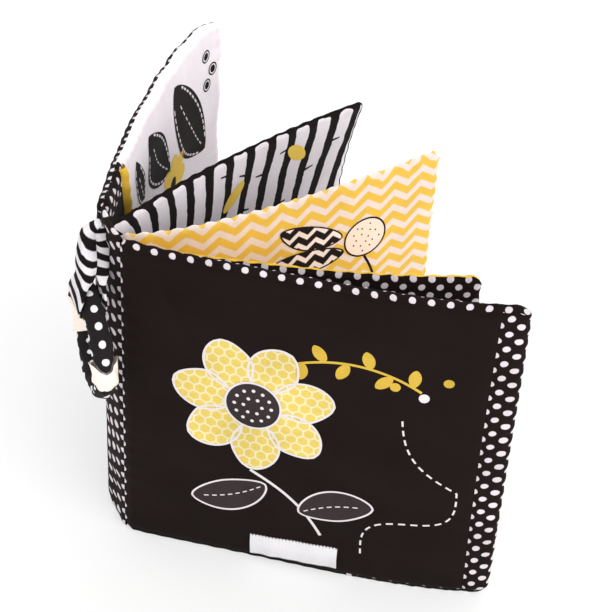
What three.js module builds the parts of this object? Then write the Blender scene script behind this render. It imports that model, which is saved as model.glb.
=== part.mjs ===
// A baby's soft cloth book standing fanned open: two padded covers and three padded leaves, each
// sewn upright to a narrow cloth spine, and a stuffed teething-style ring that hangs from a cloth
// loop at the top of the spine. Millimetres, +Z up. The origin is the foot of the spine, and +X
// runs along the front cover from the spine to its fore-edge.
import * as THREE from "three";

// Cloth, seams and clearances
const clothThickness = 0.9;
const fitGap = 0.3;
const rootGap = 0.7;
const hingeGap = 0.6;
const flatCut = 0.5;

// Covers
const cover = {
  width: 163.9,
  height: 160.5,
  bottom: -flatCut,
  edgeHalf: 2.8,
  crownHalf: 4.6,
  edgeReach: 3.5,
  crownReach: 45,
  corner: 6,
  drawIn: 1.2,
  drawInBelow: 0,
  sway: 0,
};
const foreBandWidth = 10.5;
const pipingStart = 30;
const pipingWidth = 3.4;
const pipingRise = 1.3;
const coverWaddingInset = 1.5;

// Spine, as tall as the covers stand
const rootPitch = 6.1;
const spineHeight = cover.height - flatCut;
const spineBow = 1.0;
const spineHeadingDegrees = 123.4;

// Inner leaves, each cut to a width of its own
const page = {
  height: 148,
  bottom: 6,
  edgeHalf: 1.3,
  crownHalf: 2.6,
  edgeReach: 2.4,
  crownReach: 40,
  corner: 5,
  drawIn: 1.0,
  drawInBelow: 1.0,
  sway: 0,
};
const pages = {
  dot_leaf: { ...page, width: 146 },
  chevron_leaf: { ...page, width: 155 },
  birch_leaf: { ...page, width: 149, sway: 18 },
};
const filmThickness = 0.3;
const fillingInset = 12;

// Woven label
const label = { fromSpine: 60, width: 39, bottom: 1.2, height: 10.8, thickness: 0.6 };

// Stuffed ring, placed by the top of its tube, where the loop holds it. Its lower side leans
// towards the spine.
const ring = {
  radius: 21.5,
  tubeRadius: 5,
  sleeveWall: 0.9,
  topOutward: 13.7,
  topAlong: -10.3,
  headingDegrees: 116.3,
  leanDegrees: 6,
};
const earRise = 0.4;
const earReach = 2.5;

// The ring's sleeves in degrees from its top. Each meets the next one at its last angle, and the
// vee is how far the seam between them is drawn to a point.
const sleeveStartDegrees = -65;
const sleeves = [
  { name: "ring_dotted_sleeve_front", toDegrees: 76, veeDegrees: 13, steps: 15, finish: "dots" },
  { name: "ring_plain_sleeve_lower", toDegrees: 126, veeDegrees: 0, steps: 6, finish: "cream" },
  { name: "ring_dotted_sleeve_back", toDegrees: 240, veeDegrees: 0, steps: 12, finish: "dots" },
  { name: "ring_plain_sleeve_upper", toDegrees: 295, veeDegrees: 0, steps: 6, finish: "cream" },
];
const tubeSides = 10;
const coreSteps = 24;
const coreSides = 8;

// Hanging loop, sewn to the spine below its top edge; drop is from the seam's top to the ring's
// tube, and bulk is how thick the gathered cloth stands between them
const loop = {
  width: 13,
  seamWidth: 9,
  thickness: 1.4,
  bulk: 4.4,
  foldDepth: 0.7,
  along: 5,
  seamInset: 6,
  seamHeight: 6,
  rise: 1.8,
  drop: 21.3,
  clearance: 0.7,
};
const loopSteps = 30;
const loopCells = 6;
const loopFolds = 2;

// Each leaf's plan line, as headings: at the spine, halfway and at the fore-edge, then a sharper
// turn that dies away just outside the gutter and a curl just inside the fore-edge
const sharpTurnShare = 0.12;
const headingDegrees = {
  front_cover: [8.9, -2.3, 11.8, -16.5, 0],
  dot_leaf: [6.7, 5.7, 15.4, -10, 0],
  chevron_leaf: [34.2, 42.6, 45.8, -22, 0],
  birch_leaf: [65.6, 55.6, 45.6, 0, 0],
  back_cover: [97.7, 89.3, 92.1, 0, -43],
};

// Colours
const finishes = {
  black: { color: 0x1f1719, roughness: 0.9 },
  dots: { color: 0x4a4446, roughness: 0.9 },
  yellow: { color: 0xf2c14e, roughness: 0.9 },
  stripes: { color: 0x8d898c, roughness: 0.9 },
  white: { color: 0xf2edf2, roughness: 0.85 },
  cream: { color: 0xf7e6d8, roughness: 0.8 },
  filling: { color: 0xffffff, roughness: 1.0 },
  film: { color: 0xd8dde2, roughness: 0.3 },
};

const book = new THREE.Group();
const up = new THREE.Vector3(0, 0, 1);

function add(name, geometry, finish) {
  const material = new THREE.MeshStandardMaterial({ ...finishes[finish], metalness: 0 });
  const mesh = new THREE.Mesh(geometry, material);
  mesh.name = name;
  book.add(mesh);
}

function direction(degrees) {
  const angle = THREE.MathUtils.degToRad(degrees);
  return new THREE.Vector3(Math.cos(angle), Math.sin(angle), 0);
}

// Closed solids from grids. A grid is rows of points; when it closes on itself, its last row or
// column joins the first one.
function geometryOf(points, quads) {
  const position = new Float32Array(points.flatMap((p) => [p.x, p.y, p.z]));
  const index = quads.flatMap(([a, b, c, d]) => [a, b, c, a, c, d]);
  const volume = index.reduce((sum, _, k) => {
    if (k % 3) return sum;
    const [a, b, c] = [points[index[k]], points[index[k + 1]], points[index[k + 2]]];
    return sum + a.dot(b.clone().cross(c));
  }, 0);
  if (volume < 0) {
    for (let k = 0; k < index.length; k += 3) {
      [index[k + 1], index[k + 2]] = [index[k + 2], index[k + 1]];
    }
  }
  const geometry = new THREE.BufferGeometry();
  geometry.setAttribute("position", new THREE.BufferAttribute(position, 3));
  geometry.setIndex(index);
  geometry.computeVertexNormals();
  return geometry;
}

// A slab between two point functions of (column, row): both faces and the four rims
function slab(columns, rows, nearPoint, farPoint) {
  const points = [];
  for (const pointAt of [nearPoint, farPoint]) {
    for (const column of columns) {
      for (const row of rows) points.push(pointAt(column, row));
    }
  }
  const wide = columns.length;
  const tall = rows.length;
  const id = (face, i, j) => (face * wide + i) * tall + j;
  const quads = [];
  for (let i = 0; i + 1 < wide; i++) {
    for (let j = 0; j + 1 < tall; j++) {
      quads.push([id(0, i, j), id(0, i, j + 1), id(0, i + 1, j + 1), id(0, i + 1, j)]);
      quads.push([id(1, i, j), id(1, i + 1, j), id(1, i + 1, j + 1), id(1, i, j + 1)]);
    }
    quads.push([id(0, i, 0), id(0, i + 1, 0), id(1, i + 1, 0), id(1, i, 0)]);
    quads.push([id(0, i + 1, tall - 1), id(0, i, tall - 1), id(1, i, tall - 1), id(1, i + 1, tall - 1)]);
  }
  for (let j = 0; j + 1 < tall; j++) {
    quads.push([id(0, 0, j + 1), id(0, 0, j), id(1, 0, j), id(1, 0, j + 1)]);
    quads.push([id(0, wide - 1, j), id(0, wide - 1, j + 1), id(1, wide - 1, j + 1), id(1, wide - 1, j)]);
  }
  return geometryOf(points, quads);
}

// A skin between two rings of points at every step. Its section always closes on itself, and
// with endless set its steps do too; otherwise flat ends join the rings.
function tubeSkin(steps, sides, outerPoint, innerPoint, endless) {
  const points = [];
  const stations = endless ? steps : steps + 1;
  for (const pointAt of innerPoint ? [outerPoint, innerPoint] : [outerPoint]) {
    for (let i = 0; i < stations; i++) {
      for (let j = 0; j < sides; j++) points.push(pointAt(i / steps, j / sides));
    }
  }
  const id = (face, i, j) => (face * stations + (i % stations)) * sides + (j % sides);
  const quads = [];
  for (let i = 0; i < steps; i++) {
    for (let j = 0; j < sides; j++) {
      quads.push([id(0, i, j), id(0, i + 1, j), id(0, i + 1, j + 1), id(0, i, j + 1)]);
      if (innerPoint) {
        quads.push([id(1, i, j), id(1, i, j + 1), id(1, i + 1, j + 1), id(1, i + 1, j)]);
      }
    }
  }
  if (!endless) {
    for (let j = 0; j < sides; j++) {
      quads.push([id(0, 0, j + 1), id(1, 0, j + 1), id(1, 0, j), id(0, 0, j)]);
      quads.push([id(0, steps, j), id(1, steps, j), id(1, steps, j + 1), id(0, steps, j + 1)]);
    }
  }
  return geometryOf(points, quads);
}

// Spine line in plan, bowed outwards, with the foot of its middle at the origin
const spineAlong = direction(spineHeadingDegrees);
const spineOutward = direction(spineHeadingDegrees + 90);
const spineHalf = 2 * rootPitch - hingeGap;

function spinePoint(along, outward, height) {
  const bow = spineBow * (along / spineHalf) ** 2;
  return spineAlong
    .clone()
    .multiplyScalar(along)
    .addScaledVector(spineOutward, outward - bow)
    .setZ(height);
}

// Leaf bodies. A leaf is a plan line with a height; a point on it is given by its distance from
// the spine, its height above the leaf's foot and its offset to the left of the plan line.
function leafBody(name, form, stationShare, rootInward) {
  const [root, middle, fore, gutter, curl] = headingDegrees[name];
  const headingAt = (share) => {
    const bend = 2 * (root - 2 * middle + fore);
    const slope = 4 * middle - 3 * root - fore;
    const sharp = gutter * Math.exp(-share / sharpTurnShare);
    const curled = curl * Math.exp((share - 1) / sharpTurnShare);
    return root + slope * share + bend * share * share + sharp + curled;
  };
  const steps = 60;
  const line = [spinePoint(stationShare * rootPitch, -rootInward, 0)];
  for (let k = 0; k < steps; k++) {
    const stride = direction(headingAt((k + 0.5) / steps)).multiplyScalar(form.width / steps);
    line.push(line[k].clone().add(stride));
  }
  return { ...form, name, line, headingAt, steps };
}

function planPoint(leaf, distance) {
  const place = THREE.MathUtils.clamp(distance / leaf.width, 0, 1) * leaf.steps;
  const k = Math.min(Math.floor(place), leaf.steps - 1);
  return leaf.line[k].clone().lerp(leaf.line[k + 1], place - k);
}

// Corners are rounded by turning each corner square into a quarter disc
function roundCorner(leaf, distance, height) {
  const r = leaf.corner;
  const fromFore = distance > leaf.width / 2;
  const fromTop = height > leaf.height / 2;
  const a = (r - (fromFore ? leaf.width - distance : distance)) / r;
  const b = (r - (fromTop ? leaf.height - height : height)) / r;
  if (a <= 0 || b <= 0) return [distance, height];
  const inS = r * (1 - a * Math.sqrt(1 - (b * b) / 2));
  const inH = r * (1 - b * Math.sqrt(1 - (a * a) / 2));
  return [fromFore ? leaf.width - inS : inS, fromTop ? leaf.height - inH : inH];
}

// A leaf's foot may sway to the left of its plan line, more and more towards the fore-edge
function leafPoint(leaf, distance, height, offset, shrink) {
  let [s, h] = roundCorner(leaf, distance, height);
  const u = s / leaf.width;
  const v = h / leaf.height;
  s -= leaf.drawIn * 4 * v * (1 - v) * u * u;
  h -= leaf.drawIn * 4 * u * (1 - u) * v * v;
  h += leaf.drawInBelow * 4 * u * (1 - u) * (1 - v) * (1 - v);
  s = shrink + (s * (leaf.width - 2 * shrink)) / leaf.width;
  h = shrink + (h * (leaf.height - 2 * shrink)) / leaf.height;
  const normal = direction(leaf.headingAt(s / leaf.width) + 90);
  const swung = leaf.sway * u * (1 - v ** 3);
  const place = planPoint(leaf, s).addScaledVector(normal, offset + swung);
  return place.setZ(Math.max(leaf.bottom + h, 0));
}

// Half the leaf's thickness: a round edge and a crown that rises towards the middle
function halfThickness(leaf, distance, height, thinner) {
  const ds = Math.min(distance, leaf.width - distance);
  const dh = Math.min(height, leaf.height - height);
  const round = (d) => Math.sqrt(1 - (1 - Math.min(d / leaf.edgeReach, 1)) ** 2);
  const rise = (d) => 1 - (1 - Math.min(d / leaf.crownReach, 1)) ** 2;
  const edge = (leaf.edgeHalf - thinner) * round(ds) * round(dh);
  return edge + (leaf.crownHalf - leaf.edgeHalf) * rise(ds) * rise(dh);
}

// Grid lines across a leaf, closer together near its edges, between two distances
function gridLines(leaf, length, from, to) {
  const near = [0, flatCut, leaf.edgeReach / 2, leaf.corner, leaf.crownReach / 3, leaf.crownReach];
  const all = [...near, length / 2, ...near.map((d) => length - d)].sort((a, b) => a - b);
  const inside = all.filter((d) => d > from + flatCut && d < to - flatCut);
  const ends = from === 0 && to === length ? [0, flatCut, length - flatCut, length] : [from, to];
  return [...new Set([...ends, ...inside])].sort((a, b) => a - b);
}

// One cloth face of a leaf, on its left side (+1) or its right side (-1), between two distances
// from the spine. Its inner surface is drawn in by the cloth, so the seam faces lie flat.
function clothFace(leaf, side, from = 0, to = leaf.width, bulge = () => 0) {
  const outside = (s, h) => {
    const offset = fitGap / 2 + halfThickness(leaf, s, h, 0) + bulge(s, h);
    return leafPoint(leaf, s, h, side * offset, 0);
  };
  const inside = (s, h) => {
    const offset = fitGap / 2 + halfThickness(leaf, s, h, clothThickness);
    return leafPoint(leaf, s, h, side * offset, clothThickness);
  };
  const columns = gridLines(leaf, leaf.width, from, to);
  return slab(columns, gridLines(leaf, leaf.height, 0, leaf.height), inside, outside);
}

// A filling layer between two offsets from the plan line, set in from the edges
function filling(leaf, inset, nearOffset, farOffset) {
  const shrink = clothThickness + fitGap;
  const layer = (offsetAt) => (s, h) => leafPoint(leaf, s, h, offsetAt(s, h), shrink);
  const lines = (length) => {
    const inner = gridLines(leaf, length, 0, length);
    return [inset, ...inner.filter((d) => d > inset && d < length - inset), length - inset];
  };
  return slab(lines(leaf.width), lines(leaf.height), layer(nearOffset), layer(farOffset));
}

// Spine: the dotted outside strip and the lining that the leaves are sewn to
const spineStrip = (half, inner, outer) =>
  slab(
    Array.from({ length: 7 }, (_, k) => half * (k / 3 - 1)),
    [0, spineHeight],
    (along, height) => spinePoint(along, inner, height),
    (along, height) => spinePoint(along, outer, height),
  );
const spineLiningFace = clothThickness / 2 + fitGap + clothThickness;
const liningHalf = spineHalf - cover.edgeHalf;
add("spine_panel", spineStrip(spineHalf, -clothThickness / 2, clothThickness / 2), "dots");
add("spine_lining", spineStrip(liningHalf, -spineLiningFace, -clothThickness / 2 - fitGap), "black");

// Front cover: its outside is to the right of its plan line, its inside to the left
const frontCover = leafBody("front_cover", cover, -2, 0);
const foreSeam = cover.width - foreBandWidth;
const seamSide = fitGap / 2;
add("front_cover_panel", clothFace(frontCover, -1, 0, foreSeam - seamSide), "black");
add("front_cover_fore_band", clothFace(frontCover, -1, foreSeam + seamSide), "dots");
add("front_cover_lining", clothFace(frontCover, 1), "dots");

function coverWadding(leaf) {
  const half = (s, h) => halfThickness(leaf, s, h, clothThickness + fitGap);
  return filling(leaf, coverWaddingInset, (s, h) => -half(s, h), half);
}
add("front_cover_wadding", coverWadding(frontCover), "filling");

const labelAt = (lift) => (s, h) => {
  const offset = 1.5 * fitGap + halfThickness(frontCover, s, h, 0) + lift;
  return leafPoint(frontCover, s, h, -offset, 0);
};
const labelColumns = [0, 1 / 4, 1 / 2, 3 / 4, 1].map((share) => label.fromSpine + share * label.width);
const labelRows = [0, 1 / 3, 2 / 3, 1].map((share) => label.bottom + share * label.height);
add(
  "front_cover_label",
  slab(labelColumns, labelRows, labelAt(0), labelAt(label.thickness)),
  "white",
);

// Inner leaves: front cloth, back cloth, a wadding sheet and a rustling film behind it
const rootInward = spineLiningFace + rootGap;
const innerLeaves = [
  ["dot_leaf", -1, "dots", "yellow"],
  ["chevron_leaf", 0, "yellow", "dots"],
  ["birch_leaf", 1, "stripes", "black"],
];
for (const [name, station, frontFinish, backFinish] of innerLeaves) {
  const leaf = leafBody(name, pages[name], station, rootInward);
  const half = (s, h) => halfThickness(leaf, s, h, clothThickness + fitGap);
  const filmFace = (s, h) => half(s, h) - filmThickness;
  add(`${name}_front`, clothFace(leaf, -1), frontFinish);
  add(`${name}_back`, clothFace(leaf, 1), backFinish);
  add(
    `${name}_wadding`,
    filling(leaf, fillingInset, (s, h) => -half(s, h), (s, h) => filmFace(s, h) - fitGap),
    "filling",
  );
  add(`${name}_film`, filling(leaf, fillingInset, filmFace, half), "film");
}

// Back cover: its outside is to the left of its plan line
const backCover = leafBody("back_cover", cover, 2, 0);
const pipingEnd = pipingStart + pipingWidth;
const pipingBulge = (s) => pipingRise * Math.sin((Math.PI * (s - pipingStart)) / pipingWidth);
add("back_cover_panel", clothFace(backCover, 1), "black");
add("back_cover_gutter_panel", clothFace(backCover, -1, 0, pipingStart - fitGap), "black");
add("back_cover_piping", clothFace(backCover, -1, pipingStart, pipingEnd, pipingBulge), "yellow");
add("back_cover_page", clothFace(backCover, -1, pipingEnd + fitGap), "white");
add("back_cover_wadding", coverWadding(backCover), "filling");

// Ring: angles run from its top over the side that faces the front cover and down. Its tube's
// highest point is found below the loop's seam, and the ring's centre below that.
const seamTop = spineHeight - loop.seamInset;
const seamBottom = seamTop - loop.seamHeight;
const ringTop = seamTop - loop.drop;
const ringAlong = direction(ring.headingDegrees + 180);
const ringSide = direction(ring.headingDegrees + 90);
const ringLean = THREE.MathUtils.degToRad(ring.leanDegrees);
const ringUp = up.clone().applyAxisAngle(ringAlong, ringLean);
const ringAxis = ringSide.clone().applyAxisAngle(ringAlong, ringLean);
const ringCentre = spineAlong
  .clone()
  .multiplyScalar(ring.topAlong)
  .addScaledVector(spineOutward, ring.topOutward)
  .setZ(ringTop)
  .addScaledVector(ringUp, -ring.radius);

function ringPoint(degrees, turnShare, radius) {
  const angle = THREE.MathUtils.degToRad(degrees);
  const tube = 2 * Math.PI * turnShare;
  const radial = ringUp.clone().multiplyScalar(Math.cos(angle));
  radial.addScaledVector(ringAlong, Math.sin(angle));
  return ringCentre
    .clone()
    .addScaledVector(radial, ring.radius + radius * Math.cos(tube))
    .addScaledVector(ringAxis, radius * Math.sin(tube));
}

// A sleeve's ends are cut to a point on the outer and inner sides by their vee angle
const veeShare = (turnShare) => Math.abs(1 - 4 * Math.abs(turnShare - Math.round(turnShare)));
const endGap = THREE.MathUtils.radToDeg(fitGap / ring.radius) / 2;
const sleeveInner = ring.tubeRadius - ring.sleeveWall;
const earDegrees = THREE.MathUtils.radToDeg(earReach / ring.radius);

function sleeve(fromDegrees, fromVeeDegrees, { toDegrees, veeDegrees, steps }) {
  const start = (turnShare) => fromDegrees + endGap + fromVeeDegrees * veeShare(turnShare);
  const end = (turnShare) => toDegrees - endGap + veeDegrees * veeShare(turnShare);
  const angleAt = (share, turnShare) => THREE.MathUtils.lerp(start(turnShare), end(turnShare), share);
  const flare = (degrees, turnShare) => {
    const fromEnd = Math.min(degrees - start(turnShare), end(turnShare) - degrees) / earDegrees;
    return earRise * Math.max(0, 1 - fromEnd) * (1 - veeShare(turnShare));
  };
  const outer = (share, turnShare) => {
    const degrees = angleAt(share, turnShare);
    return ringPoint(degrees, turnShare, ring.tubeRadius + flare(degrees, turnShare));
  };
  const inner = (share, turnShare) => ringPoint(angleAt(share, turnShare), turnShare, sleeveInner);
  return tubeSkin(steps, tubeSides, outer, inner, false);
}
sleeves.reduce(
  (previous, spec) => {
    add(spec.name, sleeve(previous.toDegrees, previous.veeDegrees, spec), spec.finish);
    return spec;
  },
  { toDegrees: sleeveStartDegrees, veeDegrees: 0 },
);

const coreRadius = sleeveInner - fitGap;
const corePoint = (share, turnShare) => ringPoint(360 * share, turnShare, coreRadius);
add("ring_wadding", tubeSkin(coreSteps, coreSides, corePoint, null, true), "filling");

// Hanging loop: a gathered band whose ends are sewn flat to the spine, led out over a bulge,
// down round the top of the ring's tube and back up to the seam
const holdRadius = ring.tubeRadius + loop.clearance + loop.thickness / 2;
const seamOutward = clothThickness / 2 + 2 * fitGap + loop.thickness / 2;
const aroundTube = (degrees, radiusShare) => {
  const angle = THREE.MathUtils.degToRad(degrees);
  const reach = holdRadius * radiusShare;
  return [ring.topOutward + reach * Math.cos(angle), ringTop + reach * Math.sin(angle)];
};
const loopRoute = new THREE.CatmullRomCurve3(
  [
    [seamOutward, seamTop],
    [ring.topOutward * 0.45, seamTop + loop.rise],
    [ring.topOutward * 0.9, seamTop - loop.rise],
    [ring.topOutward * 1.16, ringTop + 0.52 * loop.drop],
    aroundTube(10, 1.1),
    aroundTube(-45, 1.01),
    aroundTube(-90, 1),
    aroundTube(-135, 1.01),
    aroundTube(180, 1.02),
    [seamOutward + 0.3 * ring.topOutward, ringTop + 1.6 * holdRadius],
    [seamOutward, seamBottom],
    [seamOutward, (seamBottom + seamTop) / 2],
  ].map(([outward, height]) => new THREE.Vector3(outward, height, 0)),
  true,
  "centripetal",
);

function loopPoint(share, acrossShare, side) {
  const place = loopRoute.getPointAt(share);
  const tangent = loopRoute.getTangentAt(share);
  const drop = THREE.MathUtils.clamp((seamTop - place.y) / loop.drop, 0, 1);
  const spread = THREE.MathUtils.smoothstep(place.x, seamOutward, ring.topOutward);
  const freed = (place.y - ringTop) / holdRadius;
  const free = spread * THREE.MathUtils.smoothstep(freed, 0.5, 2);
  const lift = side * 0.5 * THREE.MathUtils.lerp(loop.thickness, loop.bulk, free);
  const fold = loop.foldDepth * (1 - drop) * Math.cos(2 * Math.PI * loopFolds * acrossShare);
  const along = THREE.MathUtils.lerp(loop.along, ring.topAlong, drop);
  const across = spineAlong.clone().lerp(ringAlong.clone().negate(), drop).normalize();
  const aside = (acrossShare - 0.5) * THREE.MathUtils.lerp(loop.seamWidth, loop.width, spread);
  const cup = (drop * aside * aside) / (2 * (ring.radius - ring.tubeRadius));
  const out = lift + Math.max(fold, -seamOutward / 2) * Math.min(1, place.x / ring.topOutward);
  return spineAlong
    .clone()
    .multiplyScalar(along)
    .addScaledVector(spineOutward, place.x + tangent.y * out)
    .addScaledVector(across, aside)
    .setZ(place.y - tangent.x * out)
    .addScaledVector(ringUp, -cup);
}

function loopBand() {
  const sides = 2 * (loopCells + 1);
  const section = (share, turnShare) => {
    const k = Math.round(turnShare * sides);
    const outerSide = k <= loopCells;
    const across = outerSide ? k / loopCells : (sides - 1 - k) / loopCells;
    return loopPoint(share, across, outerSide ? 1 : -1);
  };
  return tubeSkin(loopSteps, sides, section, null, true);
}
add("hanging_loop", loopBand(), "stripes");

export default book;
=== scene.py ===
"""Looks of the baby cloth book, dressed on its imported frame.

Lengths in this file are in millimetres until a mesh is made, where they become metres. A leaf's
surface is a function of two parameters: s, the distance from the spine along the leaf's curved
plan line, and h, the height above the leaf's foot.
"""
from __future__ import annotations

import logging
import math
from dataclasses import dataclass, field, replace
from enum import Enum
from typing import Callable, Iterable, Sequence

import bpy
import numpy as np
from mathutils import Matrix

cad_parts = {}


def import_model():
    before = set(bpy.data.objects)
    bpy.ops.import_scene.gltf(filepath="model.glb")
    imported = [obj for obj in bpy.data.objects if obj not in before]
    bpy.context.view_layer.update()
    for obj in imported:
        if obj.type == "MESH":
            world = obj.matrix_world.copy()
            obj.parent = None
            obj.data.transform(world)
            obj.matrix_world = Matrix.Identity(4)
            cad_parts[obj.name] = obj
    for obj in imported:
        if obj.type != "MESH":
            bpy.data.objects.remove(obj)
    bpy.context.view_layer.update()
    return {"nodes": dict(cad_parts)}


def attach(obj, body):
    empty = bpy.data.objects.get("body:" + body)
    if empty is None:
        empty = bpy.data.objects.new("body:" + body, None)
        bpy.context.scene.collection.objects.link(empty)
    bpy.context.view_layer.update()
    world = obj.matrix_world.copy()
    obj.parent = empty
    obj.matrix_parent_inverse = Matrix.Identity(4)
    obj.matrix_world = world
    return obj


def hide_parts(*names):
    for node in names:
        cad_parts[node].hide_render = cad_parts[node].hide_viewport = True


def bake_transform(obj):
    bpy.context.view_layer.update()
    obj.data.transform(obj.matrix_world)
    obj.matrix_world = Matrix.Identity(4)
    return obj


log = logging.getLogger("cloth_book")
MM = 0.001
TAU = 2 * math.pi
Array = np.ndarray


class Body(Enum):
    """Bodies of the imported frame."""

    SPINE = "spine_and_chevron_leaf"
    DOT_LEAF = "dot_leaf"
    FRONT_COVER = "front_cover"
    BIRCH_LEAF = "birch_leaf"
    BACK_COVER = "back_cover"
    LOOP = "loop"
    RING = "ring"


class Side(Enum):
    """Sides of a leaf's plan line, seen from above with the spine behind."""

    RIGHT = -1
    LEFT = 1


class Pattern(Enum):
    """Printed or woven patterns of the cloths."""

    PLAIN = "plain"
    DOTS = "dots"
    ZIGZAG = "zigzag"
    BARS = "bars"
    STRIPES = "stripes"
    HONEYCOMB = "honeycomb"


def heading(degrees: float | Array) -> Array:
    """Unit vectors in plan for headings in degrees.

    Args:
        degrees: One heading or an array of them.

    Returns:
        An array whose last axis is x, y, z.
    """
    angle = np.radians(np.asarray(degrees, float))
    return np.stack([np.cos(angle), np.sin(angle), np.zeros_like(angle)], -1)


def linear(colour: Sequence[float]) -> tuple[float, float, float, float]:
    """Turns an sRGB colour from 0 to 255 into Blender's linear one.

    Args:
        colour: Red, green and blue from 0 to 255.

    Returns:
        Linear red, green, blue and an alpha of 1.
    """
    c = np.asarray(colour, float) / 255
    low = c / 12.92
    high = ((c + 0.055) / 1.055) ** 2.4
    return (*[float(v) for v in np.where(c <= 0.04045, low, high)], 1.0)


def smooth(t: Array) -> Array:
    """Smooth step of values clipped to 0 to 1: 3t^2 - 2t^3."""
    t = np.clip(t, 0, 1)
    return t * t * (3 - 2 * t)


def rising(x: Array, start: float, length: float) -> Array:
    """Rises smoothly from 0 at its start to 1 a length further on."""
    return smooth((x - start) / length)


def falling(x: Array, end: float, length: float) -> Array:
    """Falls smoothly from 1 to 0 at its end, over a length."""
    return smooth((end - x) / length)


def bell(x: Array, width: float) -> Array:
    """A bell round 0: exp(-(x / width)^2)."""
    return np.exp(-((x / width) ** 2))


def direction(angle: float) -> Array:
    """Unit vector at an angle in radians: its cosine and sine."""
    return np.array([math.cos(angle), math.sin(angle)])


def run_along(path: Array) -> Array:
    """Distance of each point of a path from its start: the sum of the steps before it."""
    return np.concatenate([[0], np.cumsum(np.hypot(*np.diff(path, axis=0).T))])


def within(lines: Array, span: tuple[float, float]) -> Array:
    """The lines that lie in a span or at its ends."""
    return lines[(lines >= span[0] - 1e-6) & (lines <= span[1] + 1e-6)]


def placing(right: Array, top: Array, back: Array, place: Array) -> Matrix:
    """A matrix whose columns are an object's three axes and its place."""
    return Matrix([*np.stack([right, top, back, place], 1).tolist(), [0, 0, 0, 1]])


# Shader nodes


class Graph:
    """A node tree with short calls for the nodes that the cloths need."""

    def __init__(self, tree: bpy.types.NodeTree) -> None:
        """Keeps the tree."""
        self.tree = tree

    def node(self, kind: str, **settings: object) -> bpy.types.Node:
        """Adds a node.

        Args:
            kind: The node's type.
            settings: Attributes to set on it.

        Returns:
            The node.
        """
        new = self.tree.nodes.new(kind)
        for name, value in settings.items():
            setattr(new, name, value)
        return new

    def put(self, socket: bpy.types.NodeSocket, value: object) -> None:
        """Links or sets a socket.

        Args:
            socket: The input socket.
            value: An output socket, or a constant.
        """
        if isinstance(value, bpy.types.NodeSocket):
            self.tree.links.new(value, socket)
        else:
            socket.default_value = value

    def math(self, operation: str, *values: object) -> bpy.types.NodeSocket:
        """Adds a Math node.

        Args:
            operation: The node's operation.
            values: Its inputs, sockets or numbers.

        Returns:
            Its output.
        """
        new = self.node("ShaderNodeMath", operation=operation)
        for socket, value in zip(new.inputs, values):
            self.put(socket, value)
        return new.outputs[0]

    def split(self, vector: object) -> tuple[bpy.types.NodeSocket, bpy.types.NodeSocket]:
        """Adds a Separate XYZ node.

        Args:
            vector: The vector's socket.

        Returns:
            Its x and y outputs.
        """
        new = self.node("ShaderNodeSeparateXYZ")
        self.put(new.inputs[0], vector)
        return new.outputs[0], new.outputs[1]

    def ramp(self, value: object, low: object, high: object) -> bpy.types.NodeSocket:
        """Maps a value smoothly from 0 at low to 1 at high.

        Args:
            value: The value's socket.
            low: Where the result is 0.
            high: Where the result is 1.

        Returns:
            The mapped output.
        """
        new = self.node("ShaderNodeMapRange", interpolation_type="SMOOTHSTEP")
        for index, item in enumerate((value, low, high)):
            self.put(new.inputs[index], item)
        return new.outputs[0]

    def mix(self, factor: object, first: object, second: object) -> bpy.types.NodeSocket:
        """Mixes two colours.

        Args:
            factor: 0 for the first colour, 1 for the second.
            first: A colour or a socket.
            second: A colour or a socket.

        Returns:
            The mixed colour's output.
        """
        new = self.node("ShaderNodeMix", data_type="RGBA")
        for index, item in ((0, factor), (6, first), (7, second)):
            self.put(new.inputs[index], item)
        return new.outputs[2]

    def noise(self, vector: object, scale: float, detail: float = 2) -> bpy.types.NodeSocket:
        """Adds a Noise node.

        Args:
            vector: The vector's socket, in millimetres.
            scale: Noise cells in each millimetre.
            detail: The node's detail.

        Returns:
            The noise value's output.
        """
        new = self.node("ShaderNodeTexNoise")
        self.put(new.inputs["Vector"], vector)
        new.inputs["Scale"].default_value = scale
        new.inputs["Detail"].default_value = detail
        return new.outputs[0]


class GroupGraph(Graph):
    """The tree of a node group, with its inputs and outputs by name."""

    def __init__(self, tree: bpy.types.NodeTree) -> None:
        """Adds the group's own input and output nodes.

        Args:
            tree: The group's node tree.
        """
        super().__init__(tree)
        self.given = self.node("NodeGroupInput").outputs
        self.out = self.node("NodeGroupOutput").inputs


@dataclass(frozen=True)
class NodeGroup:
    """A shader node group that reads a vector, and puts out masks, tones or heights."""

    name: str
    wire: Callable[[GroupGraph], None]
    sizes: tuple[tuple[str, float], ...]
    outputs: tuple[str, ...] = ("Mask",)

    def tree(self) -> bpy.types.NodeTree:
        """Builds the group once.

        Returns:
            The group.
        """
        if self.name in bpy.data.node_groups:
            return bpy.data.node_groups[self.name]
        tree = bpy.data.node_groups.new(self.name, "ShaderNodeTree")
        add, number = tree.interface.new_socket, "NodeSocketFloat"
        add("Vector", in_out="INPUT", socket_type="NodeSocketVector")
        for label, size in self.sizes:
            add(label, in_out="INPUT", socket_type=number).default_value = size
        for label in self.outputs:
            add(label, in_out="OUTPUT", socket_type=number)
        self.wire(GroupGraph(tree))
        return tree


INK_EDGE = 0.12  # Half the width over which a printed edge fades, in millimetres


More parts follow.
